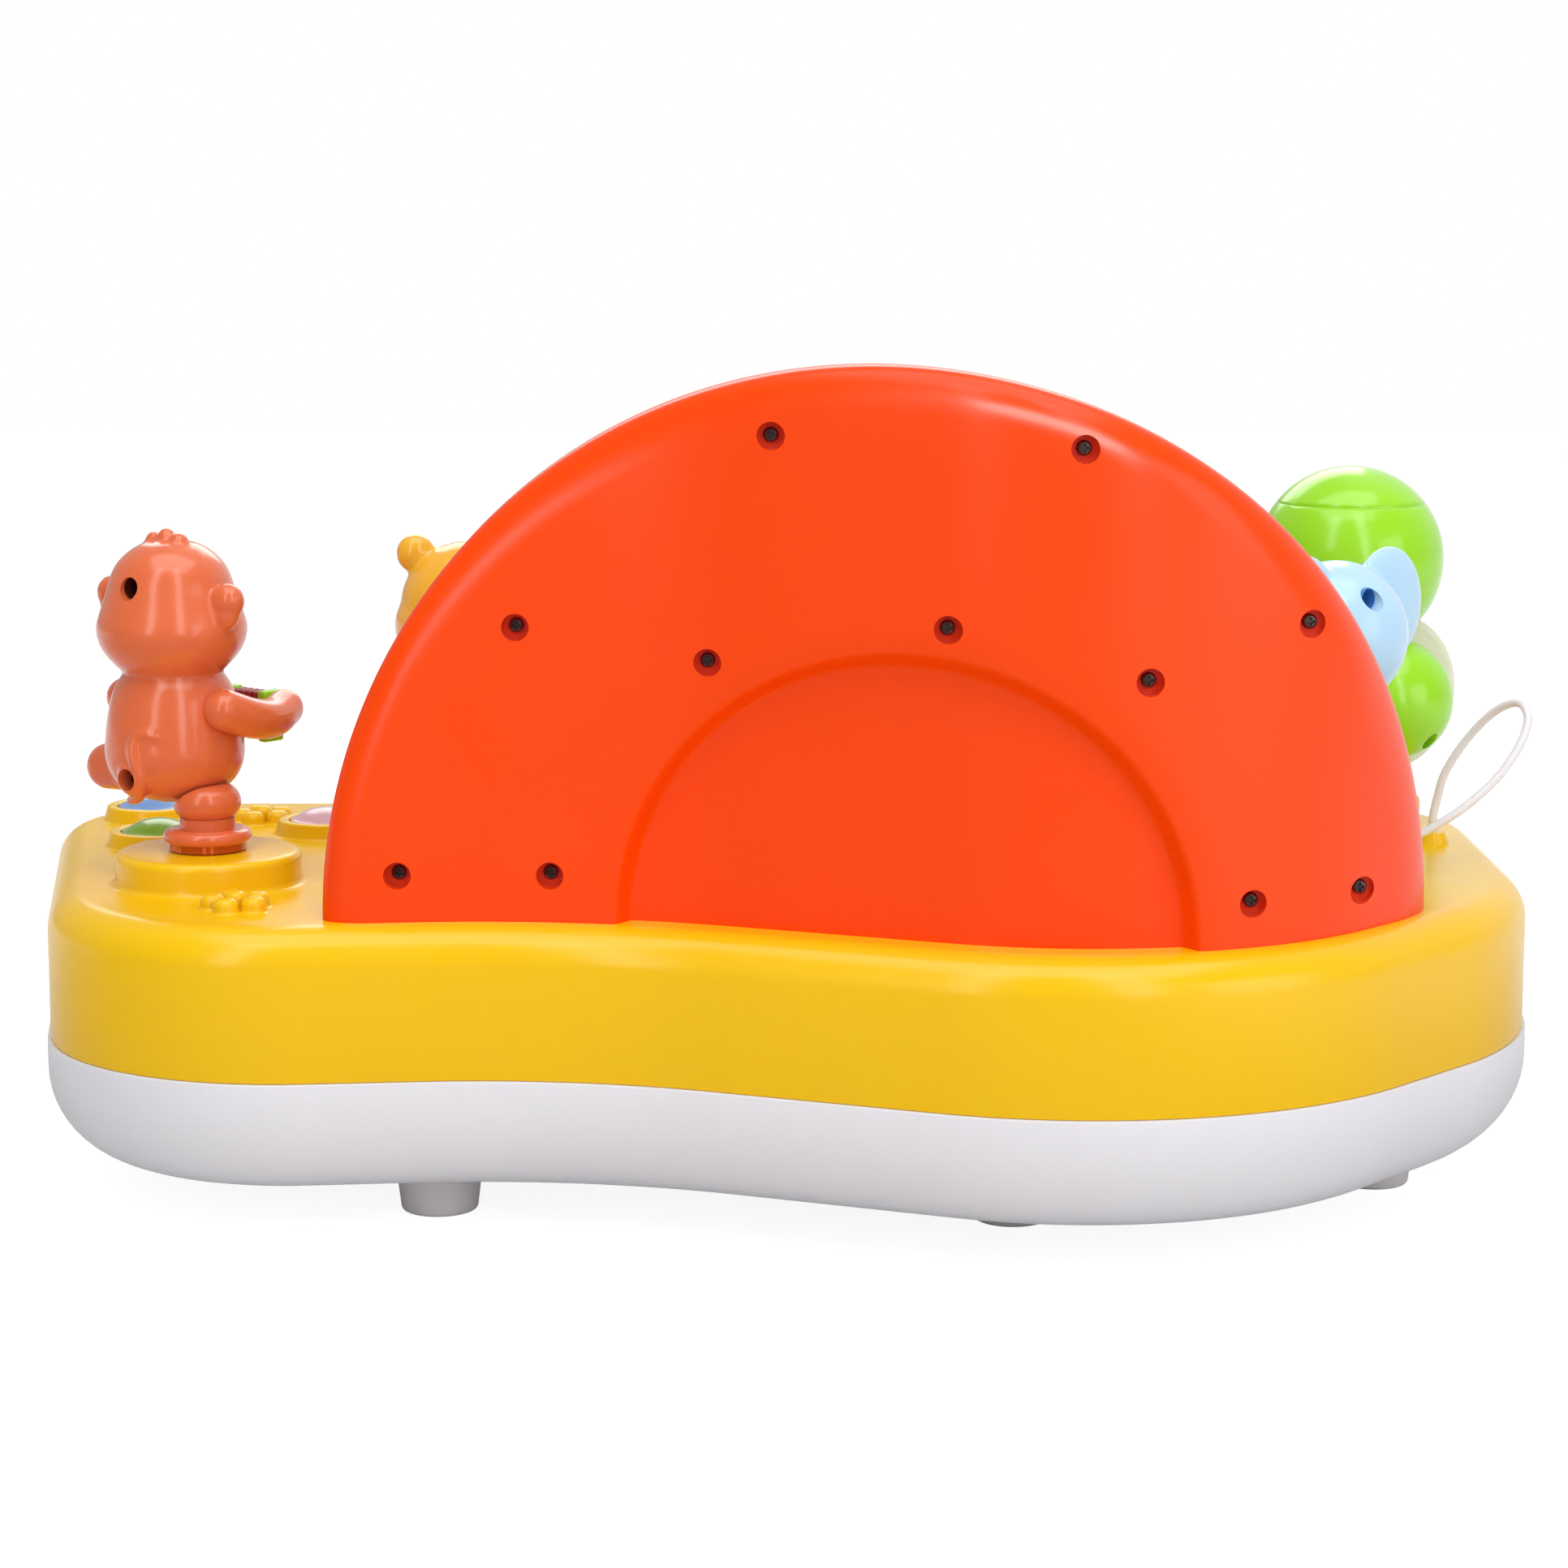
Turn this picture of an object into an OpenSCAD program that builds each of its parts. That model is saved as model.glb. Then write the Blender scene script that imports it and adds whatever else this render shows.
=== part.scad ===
/* [Housing] */
// Overall length of the upper housing, side to side
base_len = 382; // [360:1:420]
// Overall depth of the upper housing, front to rear lobe
base_dep = 226; // [210:1:250]
// Height of the feet below the lower housing
foot_h = 12; // [9:0.5:16]
// Height of the lower housing from its floor to the parting line
lower_h = 29; // [27:0.5:34]
// Height of the upper housing from the parting line to its roof
upper_h = 36; // [34:0.5:42]
// Wall thickness of the moulded housings
wall = 2.5; // [2.2:0.1:3]
// Rounding of the roof edge
roof_fillet = 9; // [6:0.5:11]
// Rounding of the floor edge
floor_fillet = 22; // [16:1:24]
// How far the lower housing stands proud of the upper one
lip = 0.8; // [0.4:0.1:1.5]

/* [Outline] */
// Corner radius at the small front corner
corner_small = 39; // [30:1:46]
// Corner radius at the large front corner
corner_large = 42; // [30:1:50]
// Radius of the small rear lobe
lobe_small = 62; // [50:1:70]
// Radius of the hollow waist between the lobes
waist_r = 145; // [120:1:160]
// Radius of the large rear lobe
lobe_large = 96; // [85:1:105]
// Radius of the shoulder beside the large lobe
shoulder_r = 97; // [80:1:110]

/* [Backboard] */
// Outer radius of the half-round backboard
board_r = 130; // [120:1:136]
// Place of the backboard centre along the length
board_x = -27; // [-32:1:-22]
// Thickness of the backboard, both shells together
board_t = 30; // [27:0.5:34]
// Depth of the rear shell of the backboard
board_split = 16; // [14:0.5:18]
// How far the backboard stands in from the rear edge
board_inset = 9; // [7:0.5:12]
// Rounding of the backboard rim
board_rim = 7; // [5:0.5:9]
// Radius of the arched recess in the rear face
arch_r = 62; // [54:1:70]
// Place of the recess centre along the length
arch_x = -32; // [-36:1:-28]
// Depth of the arched recess
arch_d = 6; // [4:0.5:7]
// Wall thickness of the backboard shells
board_wall = 2.5; // [2.2:0.1:3]
// Width of the step around the recess
arch_step = 5; // [3:0.5:7]
// Thickness of the rainbow bands
band_t = 1.6; // [1:0.1:2.5]
// Width of each rainbow band
band_w = 20; // [14:1:22]

/* [Keys] */
// Number of piano keys
key_count = 8; // [8:1:8]
// Spacing of the keys
key_pitch = 24; // [22:0.5:24.5]
// Gap between neighbouring keys
key_gap = 0.9; // [0.7:0.1:1.4]
// Length of the part of a key that shows
key_len = 56; // [48:1:58]
// Height of the key tops above the roof
key_rise = 4; // [3:0.5:6]
// Diameter of the steel rod the keys turn on
rod_d = 3; // [2.5:0.1:3.4]
// Radial running clearance of the keys on the rod
rod_fit = 0.08; // [0.05:0.01:0.1]
// Angle a key drops when pressed
key_drop = 4; // [3:0.5:4]

/* [Buttons] */
// Radius of the dome buttons
button_r = 9.5; // [8:0.5:10.5]
// Height of the moulded ring around each button
ring_h = 4; // [3:0.5:5]
// Width of the moulded ring
ring_w = 2.6; // [2:0.1:3.5]
// Travel of a dome button
button_drop = 2.5; // [2:0.1:3]

/* [Figures] */
// Radius of the monkey pedestal
pedestal_r = 22.8; // [20:0.2:24]
// Height of all figure pedestals
pedestal_h = 8; // [6:0.5:10]
// Radius of the three smaller pedestals
pedestal_small = 14; // [13:0.5:15]
// Radius of the post shafts
shaft_r = 4; // [3.4:0.1:4.6]
// Radial running clearance of the shafts
shaft_fit = 0.08; // [0.05:0.01:0.1]
// Radius of the flange above the pedestal
flange_r = 10.8; // [9.5:0.1:12]
// Depth of the monkey's rear half with its tail
monkey_back_d = 20.8; // [20:0.1:21.4]
// Depth of the monkey's front half
monkey_front_d = 17.8; // [17:0.1:18.4]
// Length of the monkey's arms, front to back
arm_d = 37; // [35:0.2:38]
// Depth of the bear's rear half
bear_back_d = 17.6; // [17:0.1:18]
// Depth of the bear's front half with its arms
bear_front_d = 25.6; // [25:0.1:26]
// Depth of the elephant's rear half
elephant_back_d = 18; // [17.4:0.1:18.5]
// Depth of the elephant's front half with its trunk
elephant_front_d = 36.8; // [36:0.1:37.4]
// Wall thickness of the figures
skin = 2.2; // [1.8:0.1:2.6]
// Turn of the monkey away from straight ahead
monkey_turn = -40; // [-60:1:-20]
// Turn of the elephant away from straight ahead
elephant_turn = 45; // [20:1:60]
// Turn of the turtle away from straight ahead
turtle_turn = 45; // [20:1:60]
// Turn of the bear away from straight ahead
bear_turn = 0; // [-20:1:20]

/* [Microphone] */
// Radius of the microphone handle at the cup
mic_r = 11; // [9.5:0.5:12]
// Radius of the microphone ball
ball_r = 17; // [15:0.5:19]
// Height of the cup that holds the microphone
cup_h = 16; // [13:0.5:20]
// Diameter of the microphone cord
cord_d = 2.2; // [1.8:0.1:2.6]

/* [Hidden] */
$fn = 64;
eps = 0.01;
far = 600;
hl = base_len / 2;
hd = base_dep / 2;
z_floor = foot_h;
z_part = z_floor + lower_h;
z_roof = z_part + upper_h;
z_under = z_roof - wall;
ped_top = z_roof + pedestal_h;
board_z = z_roof;

// Corners of the housing outline, counter-clockwise, each with its rounding
outline = [
  [hl + 6, -hd, corner_small],
  [hl - 25.5, hd - 29, lobe_small],
  [45, hd - 41, waist_r],
  [-102, hd + 17.8, lobe_large],
  [1 - hl, 32, shoulder_r],
  [-hl, -hd, corner_large]
];
sides = len(outline);

function flat(p) = [p[0], p[1]];
function unit(v) = v / norm(v);
function left(v) = [-v[1], v[0]];
function corner(i) = flat(outline[(i + sides) % sides]);
function dir_in(i) = unit(corner(i) - corner(i - 1));
function dir_out(i) = unit(corner(i + 1) - corner(i));
function cross2(a, b) = a[0] * b[1] - a[1] * b[0];
function turn(i) = atan2(cross2(dir_in(i), dir_out(i)), dir_in(i) * dir_out(i));
function side_of(i) = turn(i) > 0 ? 1 : -1;
function arc_r(i) = outline[(i + sides) % sides][2];
function reach(i) = arc_r(i) * tan(abs(turn(i)) / 2);
function arc_a(i) = corner(i) - dir_in(i) * reach(i);
function arc_b(i) = corner(i) + dir_out(i) * reach(i);
function arc_c(i) = arc_a(i) + left(dir_in(i)) * arc_r(i) * side_of(i);
function start_angle(i) = atan2(arc_a(i)[1] - arc_c(i)[1], arc_a(i)[0] - arc_c(i)[0]);

// Rear edge of the outline as a height over the length, moved in by some distance
function shifted(p, d, s) = p + left(d) * s;
function on_line(p, d, s, x) = shifted(p, d, s)[1] + (x - shifted(p, d, s)[0]) * d[1] / d[0];
function root(a) = sqrt(max(a, 0));
function rear_y(x, s) =
  x > shifted(arc_a(2), dir_in(2), s)[0] ? on_line(arc_b(1), dir_out(1), s, x) :
  x > shifted(arc_b(2), dir_out(2), s)[0] ?
    arc_c(2)[1] - root(pow(arc_r(2) + s, 2) - pow(x - arc_c(2)[0], 2)) :
  x > shifted(arc_a(3), dir_in(3), s)[0] ? on_line(arc_b(2), dir_out(2), s, x) :
  x > shifted(arc_b(3), dir_out(3), s)[0] ?
    arc_c(3)[1] + root(pow(arc_r(3) - s, 2) - pow(x - arc_c(3)[0], 2)) :
  on_line(arc_b(3), dir_out(3), s, x);

// Point on the outline moved in by a distance: corner, share of its turn, distance
function arc_pt(i, t, s) = arc_c(i) + (arc_r(i) - s * side_of(i)) *
  [cos(start_angle(i) + turn(i) * t), sin(start_angle(i) + turn(i) * t)];

module quarter(r, t) {
  intersection() {
    difference() {
      circle(r);
      circle(r - t);
    }
    square(r);
  }
}

module tube(r, bore, h) {
  difference() {
    cylinder(r = r, h = h);
    translate([0, 0, -eps]) cylinder(r = bore, h = h + 2 * eps);
  }
}

module along_y() {
  rotate([90, 0, 0]) children();
}

// Places
monkey_at = [hl - 54, 14];
bear_at = [hl - 117, -5];
elephant_at = [50 - hl, 6];
turtle_at = [23 - hl, 40 - hd];
mic_at = [-84, 2];
green_at = [hl - 33, -39];
blue_at = [hl - 25, 33 - hd];
pink_at = [key_count * key_pitch / 2 + 20.5, -57];
flowers_at = [[hl - 66, 50], [hl - 55, 38 - hd]];
speaker_at = [0, 10];
outlet_at = [16.5 - hl, -41.5];
slider_at = [52, rod_y() + 13];
small_feet = [[hl - 112, 36], [39 - hl, 11], [hl - 43, 38 - hd], [42 - hl, 35 - hd], [-60, 45]];
case_screws = [
  [hl - 44, 2], [hl - 77, 46], [0, 58], [63 - hl, 55], [31 - hl, -22], [66 - hl, 30 - hd], [hl - 70, 30 - hd]
];
slide_l = 12;
slide_w = 6;

// Lower housing
tube_top = z_part - 7;
seat_t = 4;
screw_r = 1.5;
head_r = 3;
battery_r = 7.1;
battery_l = 50;
box_at = [45, 0];
box_l = 62;
box_w = 47;
box_h = 20;
door_gap = 0.4;
contact_post = 4;
pad_y = key_front() + 19;

function key_front() = 14 - hd;
function key_rear() = key_front() + key_len;
function rod_y() = key_rear() + 6;
function rod_z() = z_under - 8.5;

// Half of the housing: rings run along the outside to the flat, then along the inside
outline_steps = 10;
edge_angles = [90, 72, 54, 36, 18, 0];
function ring_at_inset(q, out) = [for (i = [0 : sides - 1], t = [0 : 1 / outline_steps : 1.001])
  let (p = arc_pt(i, t, q[0] - out)) [p[0], p[1], q[1]]];
function side_rings(s, r, z_flat, up) = concat(
  [[s, z_part]],
  [for (a = edge_angles) [s + r * (1 - sin(a)), z_flat - up * r * (1 - cos(a))]]
);
module housing_half(rings, out, up) {
  n = sides * (outline_steps + 1);
  half = len(rings) / 2;
  pts = [for (q = rings) each ring_at_inset(q, out)];
  skin_of = function (k, l) [for (j = [0 : n - 1])
    each [[k * n + j, k * n + (j + 1) % n, l * n + j], [k * n + (j + 1) % n, l * n + (j + 1) % n, l * n + j]]];
  walls = concat(
    [for (k = [0 : half - 2]) each skin_of(k, k + 1)],
    [for (k = [half : 2 * half - 2]) each skin_of(k + 1, k)],
    skin_of(half, 0)
  );
  flats = [
    [for (j = [0 : n - 1]) (half - 1) * n + j],
    [for (j = [n - 1 : -1 : 0]) (2 * half - 1) * n + j]
  ];
  faces = concat(walls, flats);
  polyhedron(pts, up > 0 ? [for (f = faces) [for (i = [len(f) - 1 : -1 : 0]) f[i]]] : faces);
}
module tray() {
  outside = side_rings(0, floor_fillet, z_floor, -1);
  inside = side_rings(wall, floor_fillet - wall, z_floor + wall, -1);
  housing_half(concat(outside, inside), lip, -1);
}
module lid() {
  outside = side_rings(0, roof_fillet, z_roof, 1);
  inside = side_rings(wall, roof_fillet - wall, z_under, 1);
  housing_half(concat(outside, inside), 0, 1);
}

board_posts = [[-92, pad_y - 9], [-92, pad_y + 9], [92, pad_y - 9], [92, pad_y + 9]];
main_at = [-84, -8];
main_l = 72;
main_w = 44;
main_z = z_floor + wall + 8;

module base_shell() {
  color([0.855, 0.85, 0.87]) {
    difference() {
      union() {
        tray();
        for (p = case_screws) translate([p[0], p[1], z_floor]) cylinder(r = 5.6, h = tube_top - z_floor);
        for (p = board_posts) translate([p[0], p[1], z_floor]) cylinder(r = contact_post, h = key_board_z - z_floor);
        for (x = [-1, 1], y = [-1, 1]) {
          translate([main_at[0] + x * (main_l / 2 - 5), main_at[1] + y * (main_w / 2 - 5), z_floor]) {
            cylinder(r = 3.5, h = main_z - z_floor);
          }
        }
        translate([box_at[0] - box_l / 2 - 2, box_at[1] - box_w / 2 - 2, z_floor]) {
          cube([box_l + 4, box_w + 4, box_h + 2]);
        }
        translate([box_at[0] + box_l / 2 + 6, box_at[1], z_floor]) cylinder(r = 5, h = 14);
      }
      for (p = case_screws) {
        translate([p[0], p[1], z_floor - eps]) cylinder(r = head_r + 0.4, h = tube_top - seat_t - z_floor + eps);
        translate([p[0], p[1], z_floor]) cylinder(r = screw_r + 0.15, h = lower_h);
      }
      for (p = small_feet) translate([p[0], p[1], z_floor - 1]) cylinder(r = 3.5, h = 10);
      translate([box_at[0] - box_l / 2, box_at[1] - box_w / 2, z_floor - 1]) cube([box_l, box_w, box_h + 1]);
      translate([box_at[0] + box_l / 2 - 1, box_at[1] - 8, z_floor - 1]) cube([15, 16, wall + 1]);
      translate([box_at[0] + box_l / 2 + 6, box_at[1], z_floor]) cylinder(r = screw_r, h = 12);
      translate([box_at[0] - box_l / 2 - 4, box_at[1] - 15, z_floor + 1.5]) cube([6, 30, 2.2]);
    }
  }
}

// Upper housing
ring_r = button_r + 0.4 + ring_w;
boss_bottom = z_roof - 15;
rib_x = key_count * key_pitch / 2 + 2.5;
cup_r = mic_r + 3;

module ring_at(p) {
  translate([p[0], p[1], z_under]) cylinder(r1 = ring_r + 1.2, r2 = ring_r, h = wall + ring_h);
}

module pedestal(p, r) {
  translate([p[0], p[1], 0]) {
    rotate_extrude($fn = 128) {
      difference() {
        union() {
          translate([0, z_under]) square([r, wall + pedestal_h - 2]);
          translate([0, ped_top - 2 - eps]) square([r - 2, 2 + eps]);
          translate([r - 2, ped_top - 2]) circle(2);
        }
        translate([-far, -far]) square([far, 2 * far]);
      }
    }
    translate([0, 0, boss_bottom]) cylinder(r = shaft_r + 4, h = z_roof - boss_bottom);
  }
}

petal_r = 2.6;
petal_h = 2.4;
module flower(p) {
  translate([p[0], p[1], z_under]) {
    for (a = [0 : 72 : 359]) rotate([0, 0, a]) translate([2 * petal_r, 0, 0]) cylinder(r = petal_r, h = wall + petal_h);
    cylinder(r = petal_r - 0.4, h = wall + petal_h + 0.8);
  }
}

module top_shell() {
  color([0.945, 0.77, 0.16]) {
    difference() {
      union() {
        lid();
        pedestal(monkey_at, pedestal_r);
        pedestal(bear_at, pedestal_small);
        pedestal(elephant_at, pedestal_small);
        pedestal(turtle_at, pedestal_small);
        ring_at(green_at);
        ring_at(blue_at);
        ring_at(pink_at);
        for (p = flowers_at) flower(p);
        for (p = case_screws) translate([p[0], p[1], tube_top]) cylinder(r = 4.4, h = z_roof - 1 - tube_top);
        for (x = [-rib_x, 0, rib_x]) {
          translate([x - 1.5, rod_y() - 4, rod_z() - 6]) cube([3, 10, z_roof - 1 - rod_z() + 6]);
        }
        translate([speaker_at[0], speaker_at[1], z_under - 3]) tube(31.5, 29.3, 3 + eps);
      }
      for (p = [monkey_at, bear_at, elephant_at, turtle_at]) {
        translate([p[0], p[1], boss_bottom - 1]) cylinder(r = shaft_r + shaft_fit, h = 40);
      }
      for (p = [green_at, blue_at, pink_at]) {
        translate([p[0], p[1], z_under - 1]) cylinder(r = button_r + 0.4, h = 20);
      }
      for (p = case_screws) translate([p[0], p[1], tube_top - eps]) cylinder(r = screw_r + 0.02, h = 16);
      translate([-key_count * key_pitch / 2 - 0.3, key_front() - 1.6, z_under - 1]) {
        cube([key_count * key_pitch + 0.6, key_len + 2.6, 20]);
      }
      translate([-rib_x - 4, rod_y(), rod_z()]) rotate([0, 90, 0]) cylinder(r = rod_d / 2 + 0.02, h = 2 * rib_x + 8);
      for (q = [[0, 1, 0], [8, 6, 0], [15, 12, 15], [22, 18, 0]]) {
        for (k = [0 : q[1] - 1]) {
          translate([speaker_at[0], speaker_at[1], z_under - 1]) {
            rotate([0, 0, q[2] + k * 360 / q[1]]) translate([q[0], 0, 0]) cylinder(r = 1.7, h = 6, $fn = 32);
          }
        }
      }
      translate([mic_at[0], mic_at[1], z_under - 1]) cylinder(r = cup_r - 4, h = 6);
      translate([outlet_at[0], outlet_at[1], z_under - 1]) cylinder(r = 2.5, h = 6);
      translate([slider_at[0] - slide_l / 2 - 0.2, slider_at[1] - 2, z_under - 1]) cube([slide_l + 0.4, 4, 6]);
    }
  }
}

module feet() {
  color([0.72, 0.71, 0.72]) {
    for (p = small_feet) {
      translate([p[0], p[1], 0]) {
        rotate_extrude() {
          difference() {
            union() {
              polygon([[0, 0], [6.5, 0], [8.6, 2], [11, foot_h], [0, foot_h]]);
              translate([6.6, 2]) circle(2);
            }
            translate([-far, -far]) square([far, 2 * far]);
          }
        }
        translate([0, 0, foot_h - 1]) cylinder(r = 3.45, h = wall + 1.1);
        translate([0, 0, foot_h + wall + 0.1]) cylinder(r1 = 5, r2 = 3.4, h = 3);
      }
    }
  }
}

module cross_screw(r_head, h_head, r_shank, l_shank) {
  difference() {
    translate([0, 0, -h_head]) cylinder(r = r_head, h = h_head);
    for (a = [0, 90]) {
      rotate([0, 0, a]) translate([-r_head * 0.6, -0.45, -h_head - 1]) cube([r_head * 1.2, 0.9, 1 + h_head * 0.6]);
    }
  }
  cylinder(r = r_shank, h = l_shank);
}

module housing_screws() {
  color([0.45, 0.45, 0.47]) {
    for (p = case_screws) {
      translate([p[0], p[1], tube_top - seat_t]) cross_screw(head_r, 2.2, screw_r, seat_t + 13);
    }
  }
}

module battery_door() {
  color([0.855, 0.85, 0.87]) {
    difference() {
      union() {
        translate([box_at[0] - box_l / 2 + door_gap, box_at[1] - box_w / 2 + door_gap, z_floor]) {
          cube([box_l - 2 * door_gap, box_w - 2 * door_gap, wall]);
        }
        translate([box_at[0] + box_l / 2 - 1, box_at[1] - 8 + door_gap, z_floor]) {
          cube([15 - door_gap, 16 - 2 * door_gap, wall]);
        }
        for (y = [-10, 10]) {
          translate([box_at[0] - box_l / 2 - 3, box_at[1] + y - 4, z_floor + 1.7]) cube([6, 8, 1.8]);
        }
      }
      translate([box_at[0] + box_l / 2 + 6, box_at[1], z_floor - 1]) cylinder(r = screw_r + 0.15, h = 8);
      translate([box_at[0] + box_l / 2 + 6, box_at[1], z_floor - 1]) cylinder(r = 2.8, h = 2.6);
    }
  }
}

module battery_door_screw() {
  color([0.45, 0.45, 0.47]) {
    translate([box_at[0] + box_l / 2 + 6, box_at[1], z_floor + 1.6]) cross_screw(2.6, 1.6, screw_r - 0.02, 8);
  }
}

battery_z = z_floor + wall + battery_r + 1.6;
module batteries() {
  color([0.2, 0.5, 0.45]) {
    for (k = [-1 : 1]) {
      translate([box_at[0] - battery_l / 2, box_at[1] + k * 15, battery_z]) {
        rotate([0, 90, 0]) {
          cylinder(r = battery_r, h = battery_l - 1.5);
          cylinder(r = 2.7, h = battery_l);
        }
      }
    }
  }
}

module battery_contacts() {
  color([0.75, 0.75, 0.76]) {
    for (k = [-1 : 1]) {
      translate([box_at[0] + box_l / 2 - 0.6, box_at[1] + k * 15 - 5.5, battery_z - 6]) cube([0.6, 11, 12]);
      translate([box_at[0] + battery_l / 2, box_at[1] + k * 15, battery_z]) {
        rotate([0, 90, 0]) cylinder(r1 = 2.4, r2 = 4, h = (box_l - battery_l) / 2 - 0.6 + eps);
      }
      translate([box_at[0] - box_l / 2, box_at[1] + k * 15 - 5.5, battery_z - 6]) cube([0.6, 11, 12]);
      translate([box_at[0] - box_l / 2 + 0.6 - eps, box_at[1] + k * 15, battery_z]) {
        rotate([0, 90, 0]) cylinder(r1 = 5, r2 = 3.4, h = (box_l - battery_l) / 2 - 0.6 + eps);
      }
    }
  }
}

module main_board() {
  color([0.1, 0.4, 0.2]) {
    translate([main_at[0] - main_l / 2, main_at[1] - main_w / 2, main_z]) cube([main_l, main_w, 1.6]);
    translate([main_at[0] - 8, main_at[1] - 8, main_z + 1.6 - eps]) cube([16, 16, 2.2]);
    for (x = [-24, 22]) {
      translate([main_at[0] + x, main_at[1] + 10, main_z + 1.6 - eps]) cylinder(r = 4, h = 11);
    }
    translate([main_at[0] - 30, main_at[1] - 16, main_z + 1.6 - eps]) cube([10, 7, 6]);
  }
}

speaker_z = z_under - 3;
module speaker_basket() {
  color([0.5, 0.5, 0.52]) {
    translate([speaker_at[0], speaker_at[1], 0]) {
      rotate_extrude() {
        polygon([
          [25, z_under], [29, z_under], [29, speaker_z], [26.5, speaker_z], [15, speaker_z - 12],
          [15, speaker_z - 20], [0, speaker_z - 20], [0, speaker_z - 13], [14, speaker_z - 13],
          [25, speaker_z - 1.2]
        ]);
      }
    }
  }
}

module speaker_cone() {
  color([0.16, 0.16, 0.17]) {
    translate([speaker_at[0], speaker_at[1], 0]) {
      rotate_extrude() {
        polygon([
          [0, speaker_z - 9], [7, speaker_z - 11], [9, speaker_z - 11], [22, speaker_z - 2.5], [24.9, speaker_z + 1],
          [24.9, speaker_z + 1.8], [21.5, speaker_z - 1.5], [8, speaker_z - 9.5], [0, speaker_z - 7]
        ]);
      }
    }
  }
}

// Keys and their works
key_under = z_roof - 13;
plunger_z = key_under - 2;
plunger_fall = (rod_y() - pad_y) * sin(key_drop);
key_board_t = 1.6;
key_board_z = plunger_z - plunger_fall - 7;

module key_rod() {
  color([0.75, 0.75, 0.77]) {
    translate([-rib_x - 3, rod_y(), rod_z()]) rotate([0, 90, 0]) cylinder(r = rod_d / 2, h = 2 * rib_x + 6);
  }
}

module key_board() {
  color([0.1, 0.4, 0.2]) {
    translate([-98, pad_y - 13, key_board_z]) cube([196, 26, key_board_t]);
  }
}

module key_pads() {
  color([0.6, 0.6, 0.62]) {
    translate([-95, pad_y - 8, key_board_z + key_board_t]) cube([190, 16, 1.5]);
    for (k = [0 : key_count - 1]) {
      translate([key_x(k), pad_y, key_board_z + key_board_t + 1.5 - eps]) {
        cylinder(r1 = 5.5, r2 = 3.5, h = 3.4);
      }
    }
  }
}

function key_x(k) = (k - (key_count - 1) / 2) * key_pitch;

key_tones = [
  [0.89, 0.2, 0.2], [0.95, 0.5, 0.1], [0.97, 0.8, 0.15], [0.45, 0.72, 0.2],
  [0.2, 0.6, 0.8], [0.2, 0.35, 0.75], [0.5, 0.3, 0.7], [0.9, 0.5, 0.65]
];

module key_side() {
  top = z_roof + key_rise;
  difference() {
    union() {
      translate([key_front(), key_under]) square([key_len, top - 4 - key_under]);
      translate([key_front() + 4, key_under]) square([key_len - 4, top - key_under]);
      translate([key_front() + 4, top - 4]) circle(4);
    }
  }
}

module piano_key(k) {
  w = key_pitch - key_gap;
  color(key_tones[k]) {
    translate([key_x(k), 0, 0]) {
      difference() {
        union() {
          translate([-w / 2, 0, 0]) rotate([90, 0, 90]) linear_extrude(w) key_side();
          translate([-w / 2 + 2, key_front() - 3, z_under - 4]) cube([w - 4, 4, 3.7]);
          translate([-6.5, key_rear() - 3, rod_z() - 3]) cube([13, rod_y() - key_rear() + 3, 6]);
          translate([-6.5, rod_y(), rod_z()]) rotate([0, 90, 0]) cylinder(r = 4, h = 13);
        }
        translate([-w / 2 + 2.2, key_front() + 2.2, key_under - 1]) {
          cube([w - 4.4, key_len - 6.4, z_roof + key_rise - 2.4 - key_under + 1]);
        }
        translate([-20, rod_y(), rod_z()]) rotate([0, 90, 0]) cylinder(r = rod_d / 2 + rod_fit, h = 40);
      }
      translate([0, pad_y, plunger_z]) cylinder(r = 3, h = z_roof + key_rise - 1.5 - plunger_z);
    }
  }
}

module key_1() { piano_key(0); }
module key_2() { piano_key(1); }
module key_3() { piano_key(2); }
module key_4() { piano_key(3); }
module key_5() { piano_key(4); }
module key_6() { piano_key(5); }
module key_7() { piano_key(6); }
module key_8() { piano_key(7); }

// Buttons
button_top = z_roof + ring_h + 3;
button_pad_z = z_under - 4.3 - button_drop;
module dome_button(p) {
  dome = 14;
  translate([p[0], p[1], 0]) {
    rotate_extrude() {
      difference() {
        union() {
          intersection() {
            translate([0, button_top - dome]) circle(dome);
            translate([0, z_under]) square([button_r, far]);
          }
          translate([0, z_under - 2]) square([button_r, 2 + ring_h]);
          translate([0, z_under - 2.3]) square([button_r + 2, 2]);
          translate([0, z_under - 4]) square([3, 4]);
        }
        translate([-far, -far]) square([far, 2 * far]);
      }
    }
  }
}

module button_green() { color([0.5, 0.66, 0.1]) dome_button(green_at); }
module button_blue() { color([0.45, 0.6, 0.85]) dome_button(blue_at); }
module button_pink() { color([0.87, 0.68, 0.76]) dome_button(pink_at); }

module button_pads() {
  color([0.6, 0.6, 0.62]) {
    for (p = [green_at, blue_at, pink_at]) {
      translate([p[0], p[1], button_pad_z - 3.2]) cylinder(r1 = 6, r2 = 4, h = 3.2);
      difference() {
        translate([p[0], p[1], button_pad_z - 5]) cylinder(r = ring_r + 1, h = z_under - button_pad_z + 5);
        translate([p[0], p[1], button_pad_z - 3.2]) cylinder(r = button_r + 2.4, h = 30);
      }
    }
  }
}

module power_switch() {
  color([0.2, 0.2, 0.21]) {
    translate([slider_at[0] - 11, slider_at[1] - 5, z_under - 8]) {
      difference() {
        cube([22, 10, 8]);
        translate([2, 2, 3]) cube([18, 6, 8]);
      }
    }
  }
}

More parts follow.
